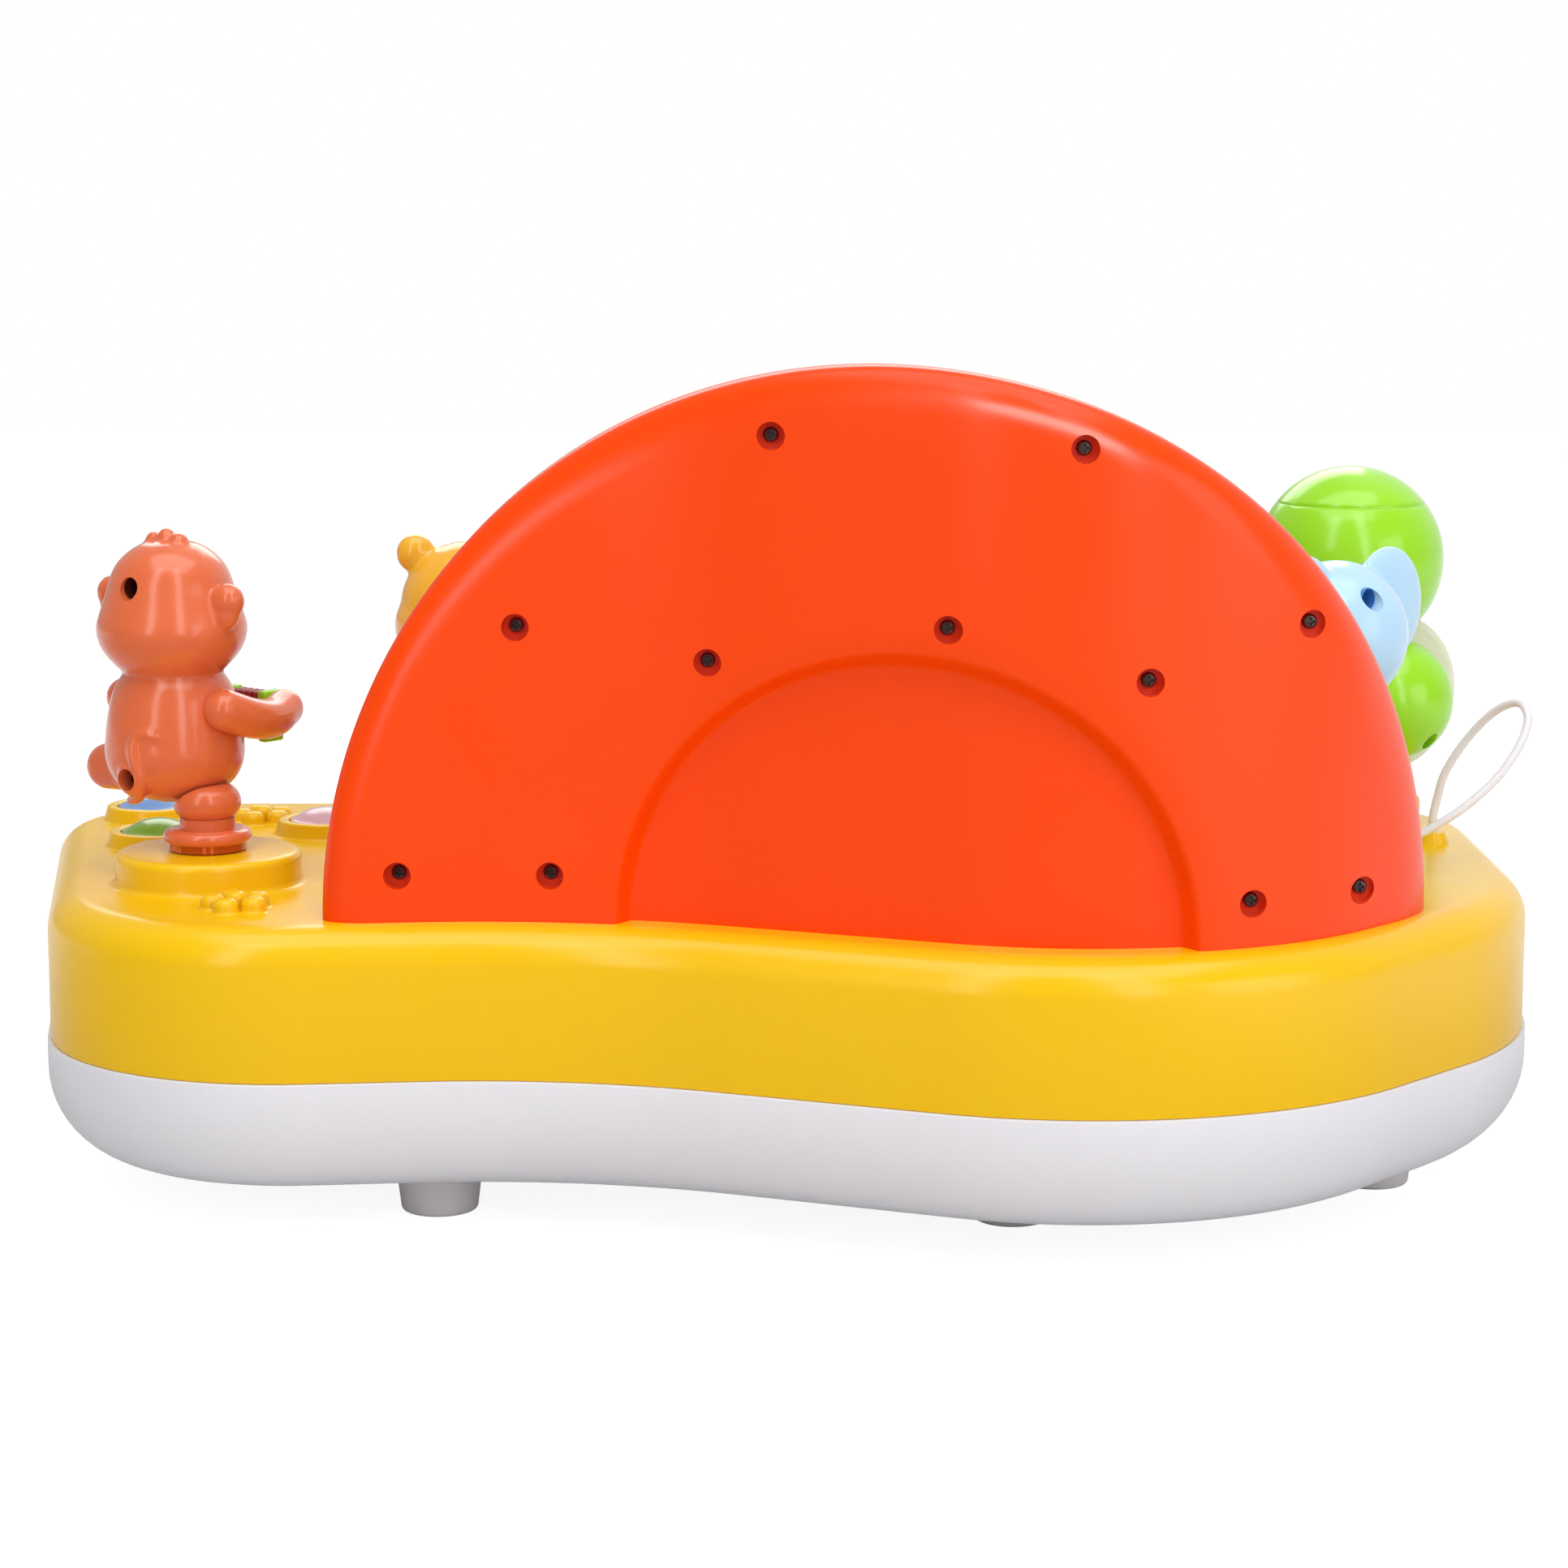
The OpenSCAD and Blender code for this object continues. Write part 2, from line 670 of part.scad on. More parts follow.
module power_slider() {
  color([0.9, 0.35, 0.1]) {
    translate([slider_at[0] - slide_l / 2, slider_at[1] - 1.8, z_under - 0.2]) cube([slide_w, 3.6, wall + 2.2]);
    translate([slider_at[0] - slide_l / 2, slider_at[1] - 2.6, z_under - 4.8]) cube([slide_w, 5.2, 4.6 + eps]);
    for (k = [0 : 2]) {
      translate([slider_at[0] - slide_l / 2 + 1 + k * 2, slider_at[1] - 1.8, z_roof + 1.9]) {
        rotate([-90, 0, 0]) cylinder(r = 0.7, h = 3.6, $fn = 24);
      }
    }
  }
}

// Backboard: a section carried round half a turn and bent along the rear edge of the housing
turns = 48;
function ring_x(r) = r < arch_r + arch_step ? arch_x :
  arch_x + (board_x - arch_x) * (r - arch_r - arch_step) / (board_r - arch_r - arch_step);
function board_pt(q, a) = let (x = ring_x(q[0]) + q[0] * cos(a))
  [x, rear_y(x, board_inset) - q[1], board_z + q[0] * sin(a)];

// Section points run out along one skin and back along the other, as many on each; the first and last have radius zero
module half_round(section) {
  n = len(section) - 2;
  first = board_pt(section[0], 90);
  last = board_pt(section[n + 1], 90);
  pts = concat(
    [[ring_x(0), first[1], board_z], [ring_x(0), last[1], board_z]],
    [for (j = [0 : turns], k = [1 : n]) board_pt(section[k], 180 * j / turns)]
  );
  walls = concat(
    [for (j = [0 : turns - 1]) [0, 2 + j * n, 2 + (j + 1) * n]],
    [for (j = [0 : turns - 1], k = [0 : n - 2])
      each [[2 + j * n + k, 2 + j * n + k + 1, 2 + (j + 1) * n + k + 1],
            [2 + j * n + k, 2 + (j + 1) * n + k + 1, 2 + (j + 1) * n + k]]],
    [for (j = [0 : turns - 1]) [1, 2 + (j + 1) * n + n - 1, 2 + j * n + n - 1]]
  );
  at = function (j, k) k == 0 ? 0 : (k == n + 1 ? 1 : 1 + j * n + k);
  ends = [for (k = [0 : (n + 2) / 2 - 2])
    each [[at(0, n + 1 - k), at(0, n - k), at(0, k + 1)], [at(0, n + 1 - k), at(0, k + 1), at(0, k)],
          [at(turns, k), at(turns, k + 1), at(turns, n - k)], [at(turns, k), at(turns, n - k), at(turns, n + 1 - k)]]];
  polyhedron(pts, concat(walls, ends));
}

// Half a ring between two radii and two depths behind the rear face
module half_band(r0, r1, d0, d1) {
  pts = [for (j = [0 : turns], q = [[r0, d0], [r1, d0], [r1, d1], [r0, d1]]) board_pt(q, 180 * j / turns)];
  walls = [for (j = [0 : turns - 1], k = [0 : 3])
    each [[4 * j + k, 4 * j + (k + 1) % 4, 4 * j + 4 + (k + 1) % 4],
          [4 * j + k, 4 * j + 4 + (k + 1) % 4, 4 * j + 4 + k]]];
  ends = [[3, 2, 1, 0], [4 * turns, 4 * turns + 1, 4 * turns + 2, 4 * turns + 3]];
  polyhedron(pts, concat(walls, ends));
}

function ease(t) = t * t * (3 - 2 * t);
rim_steps = [0, 18, 36, 54, 72, 90];
step_at = [0, 0.2, 0.4, 0.6, 0.8, 1];
front_steps = [0, 30, 60, 90];
inner_rim = board_rim - board_wall;

flat_radii = [0, 30, 48];
band_radii = [84, 104];
function band_out(k) = board_r - 9 - k * (band_w + 1.5);
function band_in(k) = band_out(k) - band_w;
front_radii = [0, 30, band_in(2), band_out(2), band_in(1), band_out(1), band_in(0), band_out(0)];
function back_section() = concat(
  [for (r = flat_radii) [r, arch_d]],
  [for (t = step_at) [arch_r + arch_step * t, arch_d * (1 - ease(t))]],
  [for (r = band_radii) [r, 0]],
  [for (a = rim_steps) [board_r - board_rim + board_rim * sin(a), board_rim * (1 - cos(a))]],
  [[board_r, board_split], [board_r - board_wall, board_split]],
  [for (k = [5 : -1 : 0])
    [board_r - board_rim + inner_rim * sin(rim_steps[k]), board_rim - inner_rim * cos(rim_steps[k])]],
  [for (k = [len(band_radii) - 1 : -1 : 0]) [band_radii[k], board_wall]],
  [for (k = [5 : -1 : 0]) [arch_r + arch_step * step_at[k], arch_d * (1 - ease(step_at[k])) + board_wall]],
  [for (k = [len(flat_radii) - 1 : -1 : 0]) [flat_radii[k], arch_d + board_wall]]
);

front_rim = 5;
front_inner = front_rim - board_wall;
function front_section() = concat(
  [for (r = front_radii) [r, board_t - board_wall]],
  [for (a = front_steps)
    [board_r - front_rim + front_inner * sin(a), board_t - front_rim + front_inner * cos(a)]],
  [[board_r - board_wall, board_split], [board_r, board_split]],
  [for (k = [3 : -1 : 0])
    [board_r - front_rim + front_rim * sin(front_steps[k]), board_t - front_rim + front_rim * cos(front_steps[k])]],
  [for (k = [len(front_radii) - 1 : -1 : 0]) [front_radii[k], board_t]]
);

// Screw places on the rear face, along the length and above the roof
board_holes = [
  [-2, 114], [-71, 112.5], [57, 69], [12.5, 62], [-41.5, 72], [-123.5, 72.5], [-86, 61], [85, 11], [49.5, 11],
  [-110.5, 10], [-138, 9.5]
];
hole_r = 3.2;
sink = 6;
seat_d = 2.5;

module at_hole(p) {
  translate([p[0], rear_y(p[0], board_inset), board_z + p[1]]) along_y() children();
}

// Keeps a screw pillar inside the two skins, which lean with the rear edge of the housing
pillar_bite = 1.2;
steep = 40;
steep_bite = -0.4;
function lean(x) = atan((rear_y(x + 1, board_inset) - rear_y(x - 1, board_inset)) / 2);
module between_skins(p) {
  depth = board_t * cos(lean(p[0]));
  bite = abs(lean(p[0])) > steep ? steep_bite : pillar_bite;
  intersection() {
    children();
    translate([p[0], rear_y(p[0], board_inset), board_z + p[1]]) rotate([0, 0, lean(p[0])]) {
      translate([-2 * board_t, bite - depth, -20]) cube([4 * board_t, depth - pillar_bite - bite, 40]);
    }
  }
}

module board_back() {
  color([0.957, 0.306, 0.071]) {
    difference() {
      union() {
        half_round(back_section());
        for (p = board_holes) {
          between_skins(p) at_hole(p) translate([0, 0, -8]) cylinder(r = hole_r + 1.5, h = sink + seat_d + 8);
        }
      }
      for (p = board_holes) {
        at_hole(p) {
          translate([0, 0, -12]) cylinder(r = hole_r, h = sink + 12);
          cylinder(r = screw_r + 0.15, h = 20);
        }
      }
    }
  }
}

module board_front() {
  color([0.96, 0.94, 0.86]) {
    difference() {
      union() {
        half_round(front_section());
        for (p = board_holes) {
          between_skins(p) at_hole(p) translate([0, 0, sink + seat_d]) cylinder(r = 3.6, h = board_t);
        }
      }
      for (p = board_holes) at_hole(p) translate([0, 0, sink]) cylinder(r = screw_r + 0.02, h = 15);
    }
  }
}

module board_screws() {
  color([0.3, 0.3, 0.32]) {
    for (p = board_holes) at_hole(p) translate([0, 0, sink]) cross_screw(2.8, 2, screw_r, 13);
  }
}

band_gap = 0.25;
module rainbow(k, tone) {
  color(tone) half_band(band_in(k), band_out(k), board_t + band_gap, board_t + band_gap + band_t);
}

module rainbow_outer() { rainbow(0, [0.98, 0.8, 0.16]); }
module rainbow_middle() { rainbow(1, [0.45, 0.75, 0.25]); }
module rainbow_inner() { rainbow(2, [0.25, 0.6, 0.85]); }

// Figures: each is a stack of rounded beads about its own upright axis, facing the front
bead_sides = 24;
core_sides = 12;
limb_sides = 16;
module bead_shape(beads, cut) {
  intersection() {
    union() {
      for (b = beads) {
        translate([b[0], b[1]]) circle(b[2] - cut);
        translate([0, b[1] - b[2] + cut]) square([b[0] + eps, 2 * (b[2] - cut)]);
      }
    }
    translate([0, -far]) square([far, 2 * far]);
  }
}

module bead_solid(beads) {
  rotate_extrude($fn = bead_sides) bead_shape(beads, 0);
}

module bead_skin(beads) {
  difference() {
    bead_solid(beads);
    rotate_extrude($fn = core_sides) bead_shape(beads, skin);
  }
}

// Ball with its poles turned away from the parting plane of the figures
module ball(r) {
  rotate([35, 20, 40]) sphere(r = r, $fn = limb_sides);
}

module limb(a, b, ra, rb) {
  hull() {
    translate(a) ball(ra);
    translate(b) ball(rb);
  }
}

module rear_half() {
  intersection() {
    children();
    translate([-100, 0, 0]) cube([200, 100, 300]);
  }
}

module front_half() {
  intersection() {
    children();
    translate([-100, -100, 0]) cube([200, 100, 300]);
  }
}

// Moulded bodies are a little flatter front to back than round
module deep(d) {
  resize([0, d, 0]) children();
}

module placed(p, a) {
  translate([p[0], p[1], ped_top]) rotate([0, 0, a]) children();
}

end_play = 0.3;
// Post: shaft through the pedestal, flange above it, leg up into the figure
module post(leg_h, leg_r) {
  translate([0, 0, boss_bottom - ped_top - end_play]) cylinder(r = shaft_r, h = ped_top - boss_bottom + 3);
  rotate_extrude() {
    difference() {
      union() {
        translate([0, 0.35]) square([flange_r - 1.4, 2]);
        translate([0, 2]) square([flange_r - 1.5, 3.4]);
        translate([flange_r - 1.7, 3.7]) circle(1.7);
        translate([0, 5.2]) square([leg_r - 1.6, 3]);
        translate([leg_r - 4.5, leg_h]) circle(4.5);
        translate([0, leg_h - 4.5]) square([leg_r - 4.5, 9]);
        translate([0, 7]) square([leg_r - 2, leg_h - 7]);
      }
      translate([-far, -far]) square([far, 2 * far]);
    }
  }
}

module retainer() {
  translate([0, 0, boss_bottom - ped_top - end_play - 1.6]) cylinder(r = 7.2, h = 1.6);
  translate([0, 0, boss_bottom - ped_top - end_play - 3.4]) cylinder(r = 2.8, h = 1.8 + eps);
}

// Screws that hold the halves of a figure together, driven from the back
module half_screw(z, depth) {
  translate([0, depth, z]) rotate([90, 0, 0]) cross_screw(1.9, 1.4, 1, depth + 6);
}
module half_bore(z, depth) {
  translate([0, depth, z]) rotate([90, 0, 0]) {
    translate([0, 0, -40]) cylinder(r = 2.2, h = 40);
    translate([0, 0, -1]) cylinder(r = 1.02, h = depth + 8);
  }
}
module half_boss(z, beads) {
  intersection() {
    translate([0, 30, z]) rotate([90, 0, 0]) cylinder(r = 3.6, h = 60, $fn = limb_sides);
    rotate_extrude($fn = bead_sides) bead_shape(beads, 0.6);
  }
}

monkey_beads = [[0, 61.5, 15.2], [6, 54, 12.3], [1.5, 30.5, 11.5], [4.6, 21.8, 11.9]];
monkey_mid = 11.4;
monkey_screws_at = [[60, 8.5], [16, 8.5]];

module monkey_core() {
  bead_skin(monkey_beads);
  for (q = monkey_screws_at) half_boss(q[0], monkey_beads);
  for (s = [-1, 1]) {
    translate([s * 18, 3, 61]) rotate([90, 0, 0]) cylinder(r = 5.6, h = 6, $fn = bead_sides);
  }
  for (x = [-5, 0, 5]) translate([x, 1, 76.4 - abs(x) * 0.2]) ball(2.4);
  limb([12, -1, 19], [20, -3, 17.5], 6.6, 6.2);
  monkey_tail();
}

module monkey_tail() {
  translate([0, 14.6, 27]) rotate([0, 90, 0]) rotate([0, 0, -50]) rotate_extrude(angle = 190, $fn = 24) {
    translate([5, 0]) circle(1.6, $fn = 10);
  }
}

module monkey_half_cut() {
  for (q = monkey_screws_at) half_bore(q[0], q[1]);
}

module monkey_back() {
  color([0.835, 0.404, 0.243]) {
    placed(monkey_at, monkey_turn) translate([monkey_mid, 0, 0]) {
      difference() {
        deep(monkey_back_d) rear_half() monkey_core();
        monkey_half_cut();
      }
    }
  }
}

module monkey_front() {
  color([0.835, 0.404, 0.243]) {
    placed(monkey_at, monkey_turn) translate([monkey_mid, 0, 0]) {
      difference() {
        deep(monkey_front_d) front_half() monkey_core();
        monkey_half_cut();
      }
    }
  }
}

module monkey_arms() {
  color([0.8, 0.38, 0.22]) {
    placed(monkey_at, monkey_turn) translate([monkey_mid, 0, 0]) deep(arm_d) {
      for (s = [-1, 1]) {
        difference() {
          union() {
            limb([s * 14.2, -1, 36], [s * 14.8, -16, 33.5], 4.7, 4.8);
            limb([s * 14.8, -16, 33.5], [s * 13.2, -29, 36], 4.8, 4.4);
          }
          bead_solid(monkey_beads);
        }
      }
    }
  }
}

module monkey_accordion() {
  color([0.55, 0.1, 0.1]) {
    placed(monkey_at, monkey_turn) translate([monkey_mid, -29, 34]) {
      for (s = [-1, 1]) translate([s * 7 - 1.6, -6, -7]) cube([3.2, 12, 14]);
      translate([-5.5, -4.2, -5.2]) cube([11, 8.4, 10.4]);
      for (k = [-2 : 2]) translate([k * 2.1 - 0.6, -5.4, -6.4]) cube([1.2, 10.8, 12.8]);
    }
  }
}

module monkey_post() {
  color([0.8, 0.38, 0.22]) {
    placed(monkey_at, monkey_turn) {
      difference() {
        post(12, 8.4);
        translate([monkey_mid, 0, 0]) bead_solid(monkey_beads);
      }
    }
  }
}

module monkey_screws() {
  color([0.3, 0.3, 0.32]) {
    placed(monkey_at, monkey_turn) {
      translate([monkey_mid, 0, 0]) for (q = monkey_screws_at) half_screw(q[0], q[1]);
      retainer();
    }
  }
}

bear_beads = [[0, 57.8, 16.6], [4.6, 53.6, 13.4], [1.6, 31.2, 11.6], [4.6, 21.8, 11.9]];
module bear_core() {
  bead_skin(bear_beads);
  for (s = [-1, 1]) {
    translate([s * 12.5, 0.8, 71.4]) ball(4.6);
    limb([s * 12, -2, 34], [s * 12, -22, 33], 4.4, 4);
  }
}

module bear_back() {
  color([0.945, 0.71, 0.243]) placed(bear_at, bear_turn) deep(bear_back_d) rear_half() bear_core();
}

module bear_front() {
  color([0.945, 0.71, 0.243]) placed(bear_at, bear_turn) deep(bear_front_d) front_half() bear_core();
}

module bear_drum() {
  color([0.3, 0.55, 0.8]) {
    placed(bear_at, bear_turn) translate([0, -26, 14]) {
      difference() {
        union() {
          cylinder(r = 9, h = 12);
          translate([0, 0, 0]) cylinder(r = 9.8, h = 1.8);
          translate([0, 0, 10.6]) cylinder(r = 9.8, h = 1.8);
          translate([0, 9, 4]) rotate([-90, 0, 0]) cylinder(r = 2.4, h = 16);
        }
        translate([0, 26, -14]) bead_solid(bear_beads);
      }
    }
  }
}

module bear_post() {
  color([0.9, 0.66, 0.2]) {
    placed(bear_at, bear_turn) {
      difference() {
        post(12, 9);
        bead_solid(bear_beads);
      }
      retainer();
    }
  }
}

elephant_beads = [[0, 52.4, 18.5], [1.5, 29, 11.5], [4.8, 21.8, 11.9]];
module elephant_core() {
  bead_skin(elephant_beads);
  half_boss(58, elephant_beads);
  for (s = [-1, 1]) {
    translate([s * 17, 2.5, 58]) rotate([90, 0, 0]) cylinder(r = 13.5, h = 5, $fn = bead_sides);
    limb([s * 12, -1, 33], [s * 13, -14, 27], 4.6, 4.4);
  }
  limb([0, -17, 50], [0, -25, 42], 5.2, 4.4);
  limb([0, -25, 42], [0, -31, 44], 4.4, 3.8);
  limb([0, -31, 44], [0, -34, 50], 3.8, 3.4);
}

module elephant_back() {
  color([0.749, 0.882, 0.988]) {
    placed(elephant_at, elephant_turn) {
      difference() {
        deep(elephant_back_d) rear_half() elephant_core();
        half_bore(58, 10);
      }
    }
  }
}

module elephant_front() {
  color([0.749, 0.882, 0.988]) {
    placed(elephant_at, elephant_turn) {
      difference() {
        deep(elephant_front_d) front_half() elephant_core();
        half_bore(58, 10);
      }
    }
  }
}

module elephant_post() {
  color([0.7, 0.84, 0.95]) {
    placed(elephant_at, elephant_turn) {
      difference() {
        post(12, 9);
        bead_solid(elephant_beads);
      }
      retainer();
    }
  }
}

// Turtle: the head lies ahead of the domed shell
turtle_head_r = 24.5;
turtle_head_at = [0, -17, 62];
turtle_shell_r = 16.5;
turtle_mid = 25.5;
belly_r = 18.5;

module turtle_head_skin() {
  translate(turtle_head_at) {
    difference() {
      sphere(r = turtle_head_r, $fn = 96);
      sphere(r = turtle_head_r - skin, $fn = 96);
    }
  }
}

module turtle_head_back() {
  color([0.651, 0.89, 0.188]) {
    placed(turtle_at, turtle_turn) {
      difference() {
        intersection() {
          turtle_head_skin();
          translate(turtle_head_at) translate([-50, -5, -50]) cube([100, 100, 100]);
        }
        turtle_body_solid();
      }
    }
  }
}

module turtle_head_front() {
  color([0.651, 0.89, 0.188]) {
    placed(turtle_at, turtle_turn) {
      difference() {
        intersection() {
          turtle_head_skin();
          translate(turtle_head_at) translate([-50, -105, -50]) cube([100, 100, 100]);
        }
        turtle_body_solid();
      }
    }
  }
}

module turtle_body_solid() {
  translate([0, 0, turtle_mid]) {
    rotate([90, 0, 0]) cylinder(r = belly_r, h = 5);
    translate([0, -5, 0]) sphere(r = 15);
    limb([0, -8, 8], [0, -13, 18], 8, 8);
  }
}

module turtle_belly() {
  color([0.9, 0.88, 0.8]) {
    placed(turtle_at, turtle_turn) {
      difference() {
        intersection() {
          turtle_body_solid();
          translate([-50, -100, 0]) cube([100, 100, 100]);
        }
        translate(turtle_head_at) sphere(r = turtle_head_r - skin, $fn = 96);
        half_bore(turtle_mid - 10, 6);
      }
    }
  }
}

module turtle_shell() {
  color([0.71, 0.91, 0.357]) {
    placed(turtle_at, turtle_turn) {
      difference() {
        union() {
          translate([0, 0, turtle_mid]) rotate([-90, 0, 0]) rotate_extrude($fn = 96) quarter(turtle_shell_r, skin);
          intersection() {
            translate([0, 30, turtle_mid - 10]) rotate([90, 0, 0]) cylinder(r = 3.4, h = 30);
            translate([0, 0, turtle_mid]) rotate([20, 30, 0]) sphere(r = turtle_shell_r - 0.6, $fn = 96);
          }
        }
        half_bore(turtle_mid - 10, 6);
        translate(turtle_head_at) sphere(r = turtle_head_r, $fn = 96);
      }
    }
  }
}

module turtle_post() {
  color([0.9, 0.88, 0.8]) {
    placed(turtle_at, turtle_turn) {
      difference() {
        post(11, 8);
        turtle_body_solid();
        translate([0, 0, turtle_mid]) sphere(r = turtle_shell_r, $fn = 96);
      }
      retainer();
    }
  }
}

module elephant_screws() {
  color([0.3, 0.3, 0.32]) placed(elephant_at, elephant_turn) half_screw(58, 10);
}

module turtle_screws() {
  color([0.3, 0.3, 0.32]) placed(turtle_at, turtle_turn) half_screw(turtle_mid - 10, 6);
}

// Microphone, its cup and cord
mic_foot = z_roof + 2;
mic_neck = mic_foot + 62;
sleeve_z = z_roof + cup_h + 6;
sleeve_l = 12;

module mic_cup() {
  color([0.3, 0.55, 0.8]) {
    translate([mic_at[0], mic_at[1], 0]) {
      difference() {
        union() {
          translate([0, 0, z_roof]) cylinder(r1 = cup_r + 2, r2 = cup_r, h = cup_h);
          translate([0, 0, z_under - 2]) cylinder(r = cup_r - 4.1, h = wall + 2 + eps);
        }
        translate([0, 0, mic_foot - 0.3]) cylinder(r = mic_r + 0.5, h = cup_h + 10);
      }
    }
  }
}

module mic_handle() {
  color([0.9, 0.9, 0.92]) {
    translate([mic_at[0], mic_at[1], 0]) {
      difference() {
        rotate_extrude() {
          polygon([
            [0, mic_foot], [mic_r - 1, mic_foot], [mic_r, mic_foot + 1], [mic_r, mic_foot + 22],
            [mic_r - 1, mic_foot + 34], [mic_r + 2, mic_neck - 8], [mic_r + 3, mic_neck - 6],
            [mic_r + 3, mic_neck - 2], [mic_r, mic_neck], [0, mic_neck]
          ]);
        }
        translate([0, 0, mic_neck + ball_r - 6]) sphere(r = ball_r + 0.05, $fn = 96);
        translate([-mic_r - 1, 0, sleeve_z]) rotate([0, 90, 0]) cylinder(r = 1.6, h = 5);
      }
    }
  }
}

module mic_ball() {
  color([0.7, 0.7, 0.74]) {
    translate([mic_at[0], mic_at[1], mic_neck + ball_r - 6]) {
      difference() {
        sphere(r = ball_r, $fn = 96);
        sphere(r = ball_r - 2, $fn = 96);
      }
    }
  }
}

module mic_sleeve() {
  color([0.85, 0.84, 0.85]) {
    translate([mic_at[0] - mic_r, mic_at[1], sleeve_z]) {
      rotate([0, -90, 0]) {
        translate([0, 0, -3]) cylinder(r = 1.55, h = 4);
        translate([0, 0, 0.4]) cylinder(r1 = 3, r2 = 2, h = sleeve_l - 0.4);
      }
    }
  }
}

outlet_h = 3;
module cord_outlet() {
  color([0.945, 0.77, 0.16]) {
    translate([outlet_at[0], outlet_at[1], 0]) {
      translate([0, 0, z_roof]) cylinder(r1 = 4.4, r2 = 3.2, h = outlet_h);
      translate([0, 0, z_under - 2]) cylinder(r = 2.45, h = wall + 2 + eps);
    }
  }
}

// Route of the cord, from the outlet round its loop to the sleeve on the microphone
sleeve_end = mic_at[0] - mic_r - sleeve_l;
cord_route = [
  [outlet_at[0], outlet_at[1], z_roof + outlet_h], [-174.5, -41, 84], [-175.5, -41, 89], [-177, -40.5, 95],
  [-180, -39.5, 101], [-184, -38, 107], [-188, -35, 112], [-191.5, -31, 115], [-194, -27, 115.5],
  [-195, -23.5, 112.5], [-193.5, -21, 108], [-190.5, -19, 103], [-186.5, -17.5, 98], [-181.5, -16, 93.5],
  [-176, -14.5, 89.5], [-170, -13.5, 86], [-164, -13, 83], [-158, -12.5, 80.5], [-152, -12, 79], [-146, -12, 78.4],
  [-140, -12, 78.4], [-134, -11.5, 79], [-128.5, -9.5, 81.5], [-123.5, -6.5, 86], [-119, -2.5, 92],
  [-114, 0.8, 97], [sleeve_end, mic_at[1], sleeve_z]
];
cord_sides = 8;
function tangent(i) = i == 0 ? [0, 0, 1] : i == len(cord_route) - 1 ? [1, 0, 0] :
  unit(cord_route[i + 1] - cord_route[i - 1]);
function swing(v, a, b) = v - (a + b) * ((a + b) * v) * 2 / ((a + b) * (a + b)) + b * 2 * (a * v);
function side_dir(i) = i == 0 ? [0, 1, 0] : unit(swing(side_dir(i - 1), tangent(i - 1), tangent(i)));
module mic_cord() {
  n = len(cord_route);
  pts = [for (i = [0 : n - 1]) let (u = side_dir(i), w = cross(tangent(i), u))
    for (k = [0 : cord_sides - 1]) cord_route[i] +
      cord_d / 2 * (u * cos(360 * k / cord_sides) + w * sin(360 * k / cord_sides))];
  body = [for (i = [0 : n - 2], k = [0 : cord_sides - 1])
    let (p = i * cord_sides + k, q = i * cord_sides + (k + 1) % cord_sides)
    each [[p, p + cord_sides, q], [q, p + cord_sides, q + cord_sides]]];
  ends = [[for (k = [0 : cord_sides - 1]) k], [for (k = [cord_sides - 1 : -1 : 0]) (n - 1) * cord_sides + k]];
  color([0.906, 0.886, 0.894]) polyhedron(pts, concat(body, ends));
}

base_shell();
top_shell();
feet();
housing_screws();
battery_door();
battery_door_screw();
batteries();
battery_contacts();
main_board();
speaker_basket();
speaker_cone();
key_rod();
key_board();
key_pads();
button_pads();
power_switch();
board_back();
board_front();
board_screws();
rainbow_outer();
rainbow_middle();
rainbow_inner();
mic_cup();
cord_outlet();
mic_cord();
key_1();
key_2();
key_3();
key_4();
key_5();
key_6();
key_7();
key_8();
button_green();
button_blue();
button_pink();
power_slider();
monkey_back();
monkey_front();
monkey_arms();
monkey_accordion();
monkey_post();
monkey_screws();
bear_back();
bear_front();
bear_drum();
bear_post();
elephant_back();
elephant_front();
elephant_post();
turtle_head_back();
turtle_head_front();
turtle_shell();
turtle_belly();
turtle_post();
elephant_screws();
turtle_screws();
mic_ball();
mic_handle();
mic_sleeve();
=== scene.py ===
import math

import bpy
from mathutils import Matrix, Vector


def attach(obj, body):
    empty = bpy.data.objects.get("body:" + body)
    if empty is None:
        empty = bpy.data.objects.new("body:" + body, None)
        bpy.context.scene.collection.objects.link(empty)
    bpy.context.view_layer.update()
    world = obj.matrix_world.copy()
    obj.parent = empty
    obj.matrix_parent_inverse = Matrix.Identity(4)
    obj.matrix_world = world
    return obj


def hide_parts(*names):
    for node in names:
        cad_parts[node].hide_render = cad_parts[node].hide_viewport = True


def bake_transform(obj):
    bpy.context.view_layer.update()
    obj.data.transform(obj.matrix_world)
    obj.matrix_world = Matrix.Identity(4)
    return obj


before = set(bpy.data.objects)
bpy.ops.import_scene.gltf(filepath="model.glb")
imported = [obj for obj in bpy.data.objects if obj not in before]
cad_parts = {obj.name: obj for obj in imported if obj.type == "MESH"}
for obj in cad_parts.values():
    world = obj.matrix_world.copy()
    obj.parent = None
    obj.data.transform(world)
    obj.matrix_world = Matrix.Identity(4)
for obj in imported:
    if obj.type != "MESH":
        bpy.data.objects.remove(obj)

mm = 0.001
scene = bpy.context.scene
scene.view_settings.view_transform = "Standard"
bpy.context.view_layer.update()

# camera on the rear side, a little above the roof
view = {"target": (-5, 12, 101), "distance": 920, "elevation": 9, "lens": 85.71}
lift = math.radians(view["elevation"])
eye = Vector(view["target"]) + Vector((0, math.cos(lift), math.sin(lift))) * view["distance"]
bpy.ops.object.camera_add(location=eye * mm, rotation=(math.pi / 2 - lift, 0, math.pi))
camera = bpy.context.object
camera.name = "camera"
camera.data.lens = view["lens"]
camera.data.sensor_width = 36
scene.camera = camera


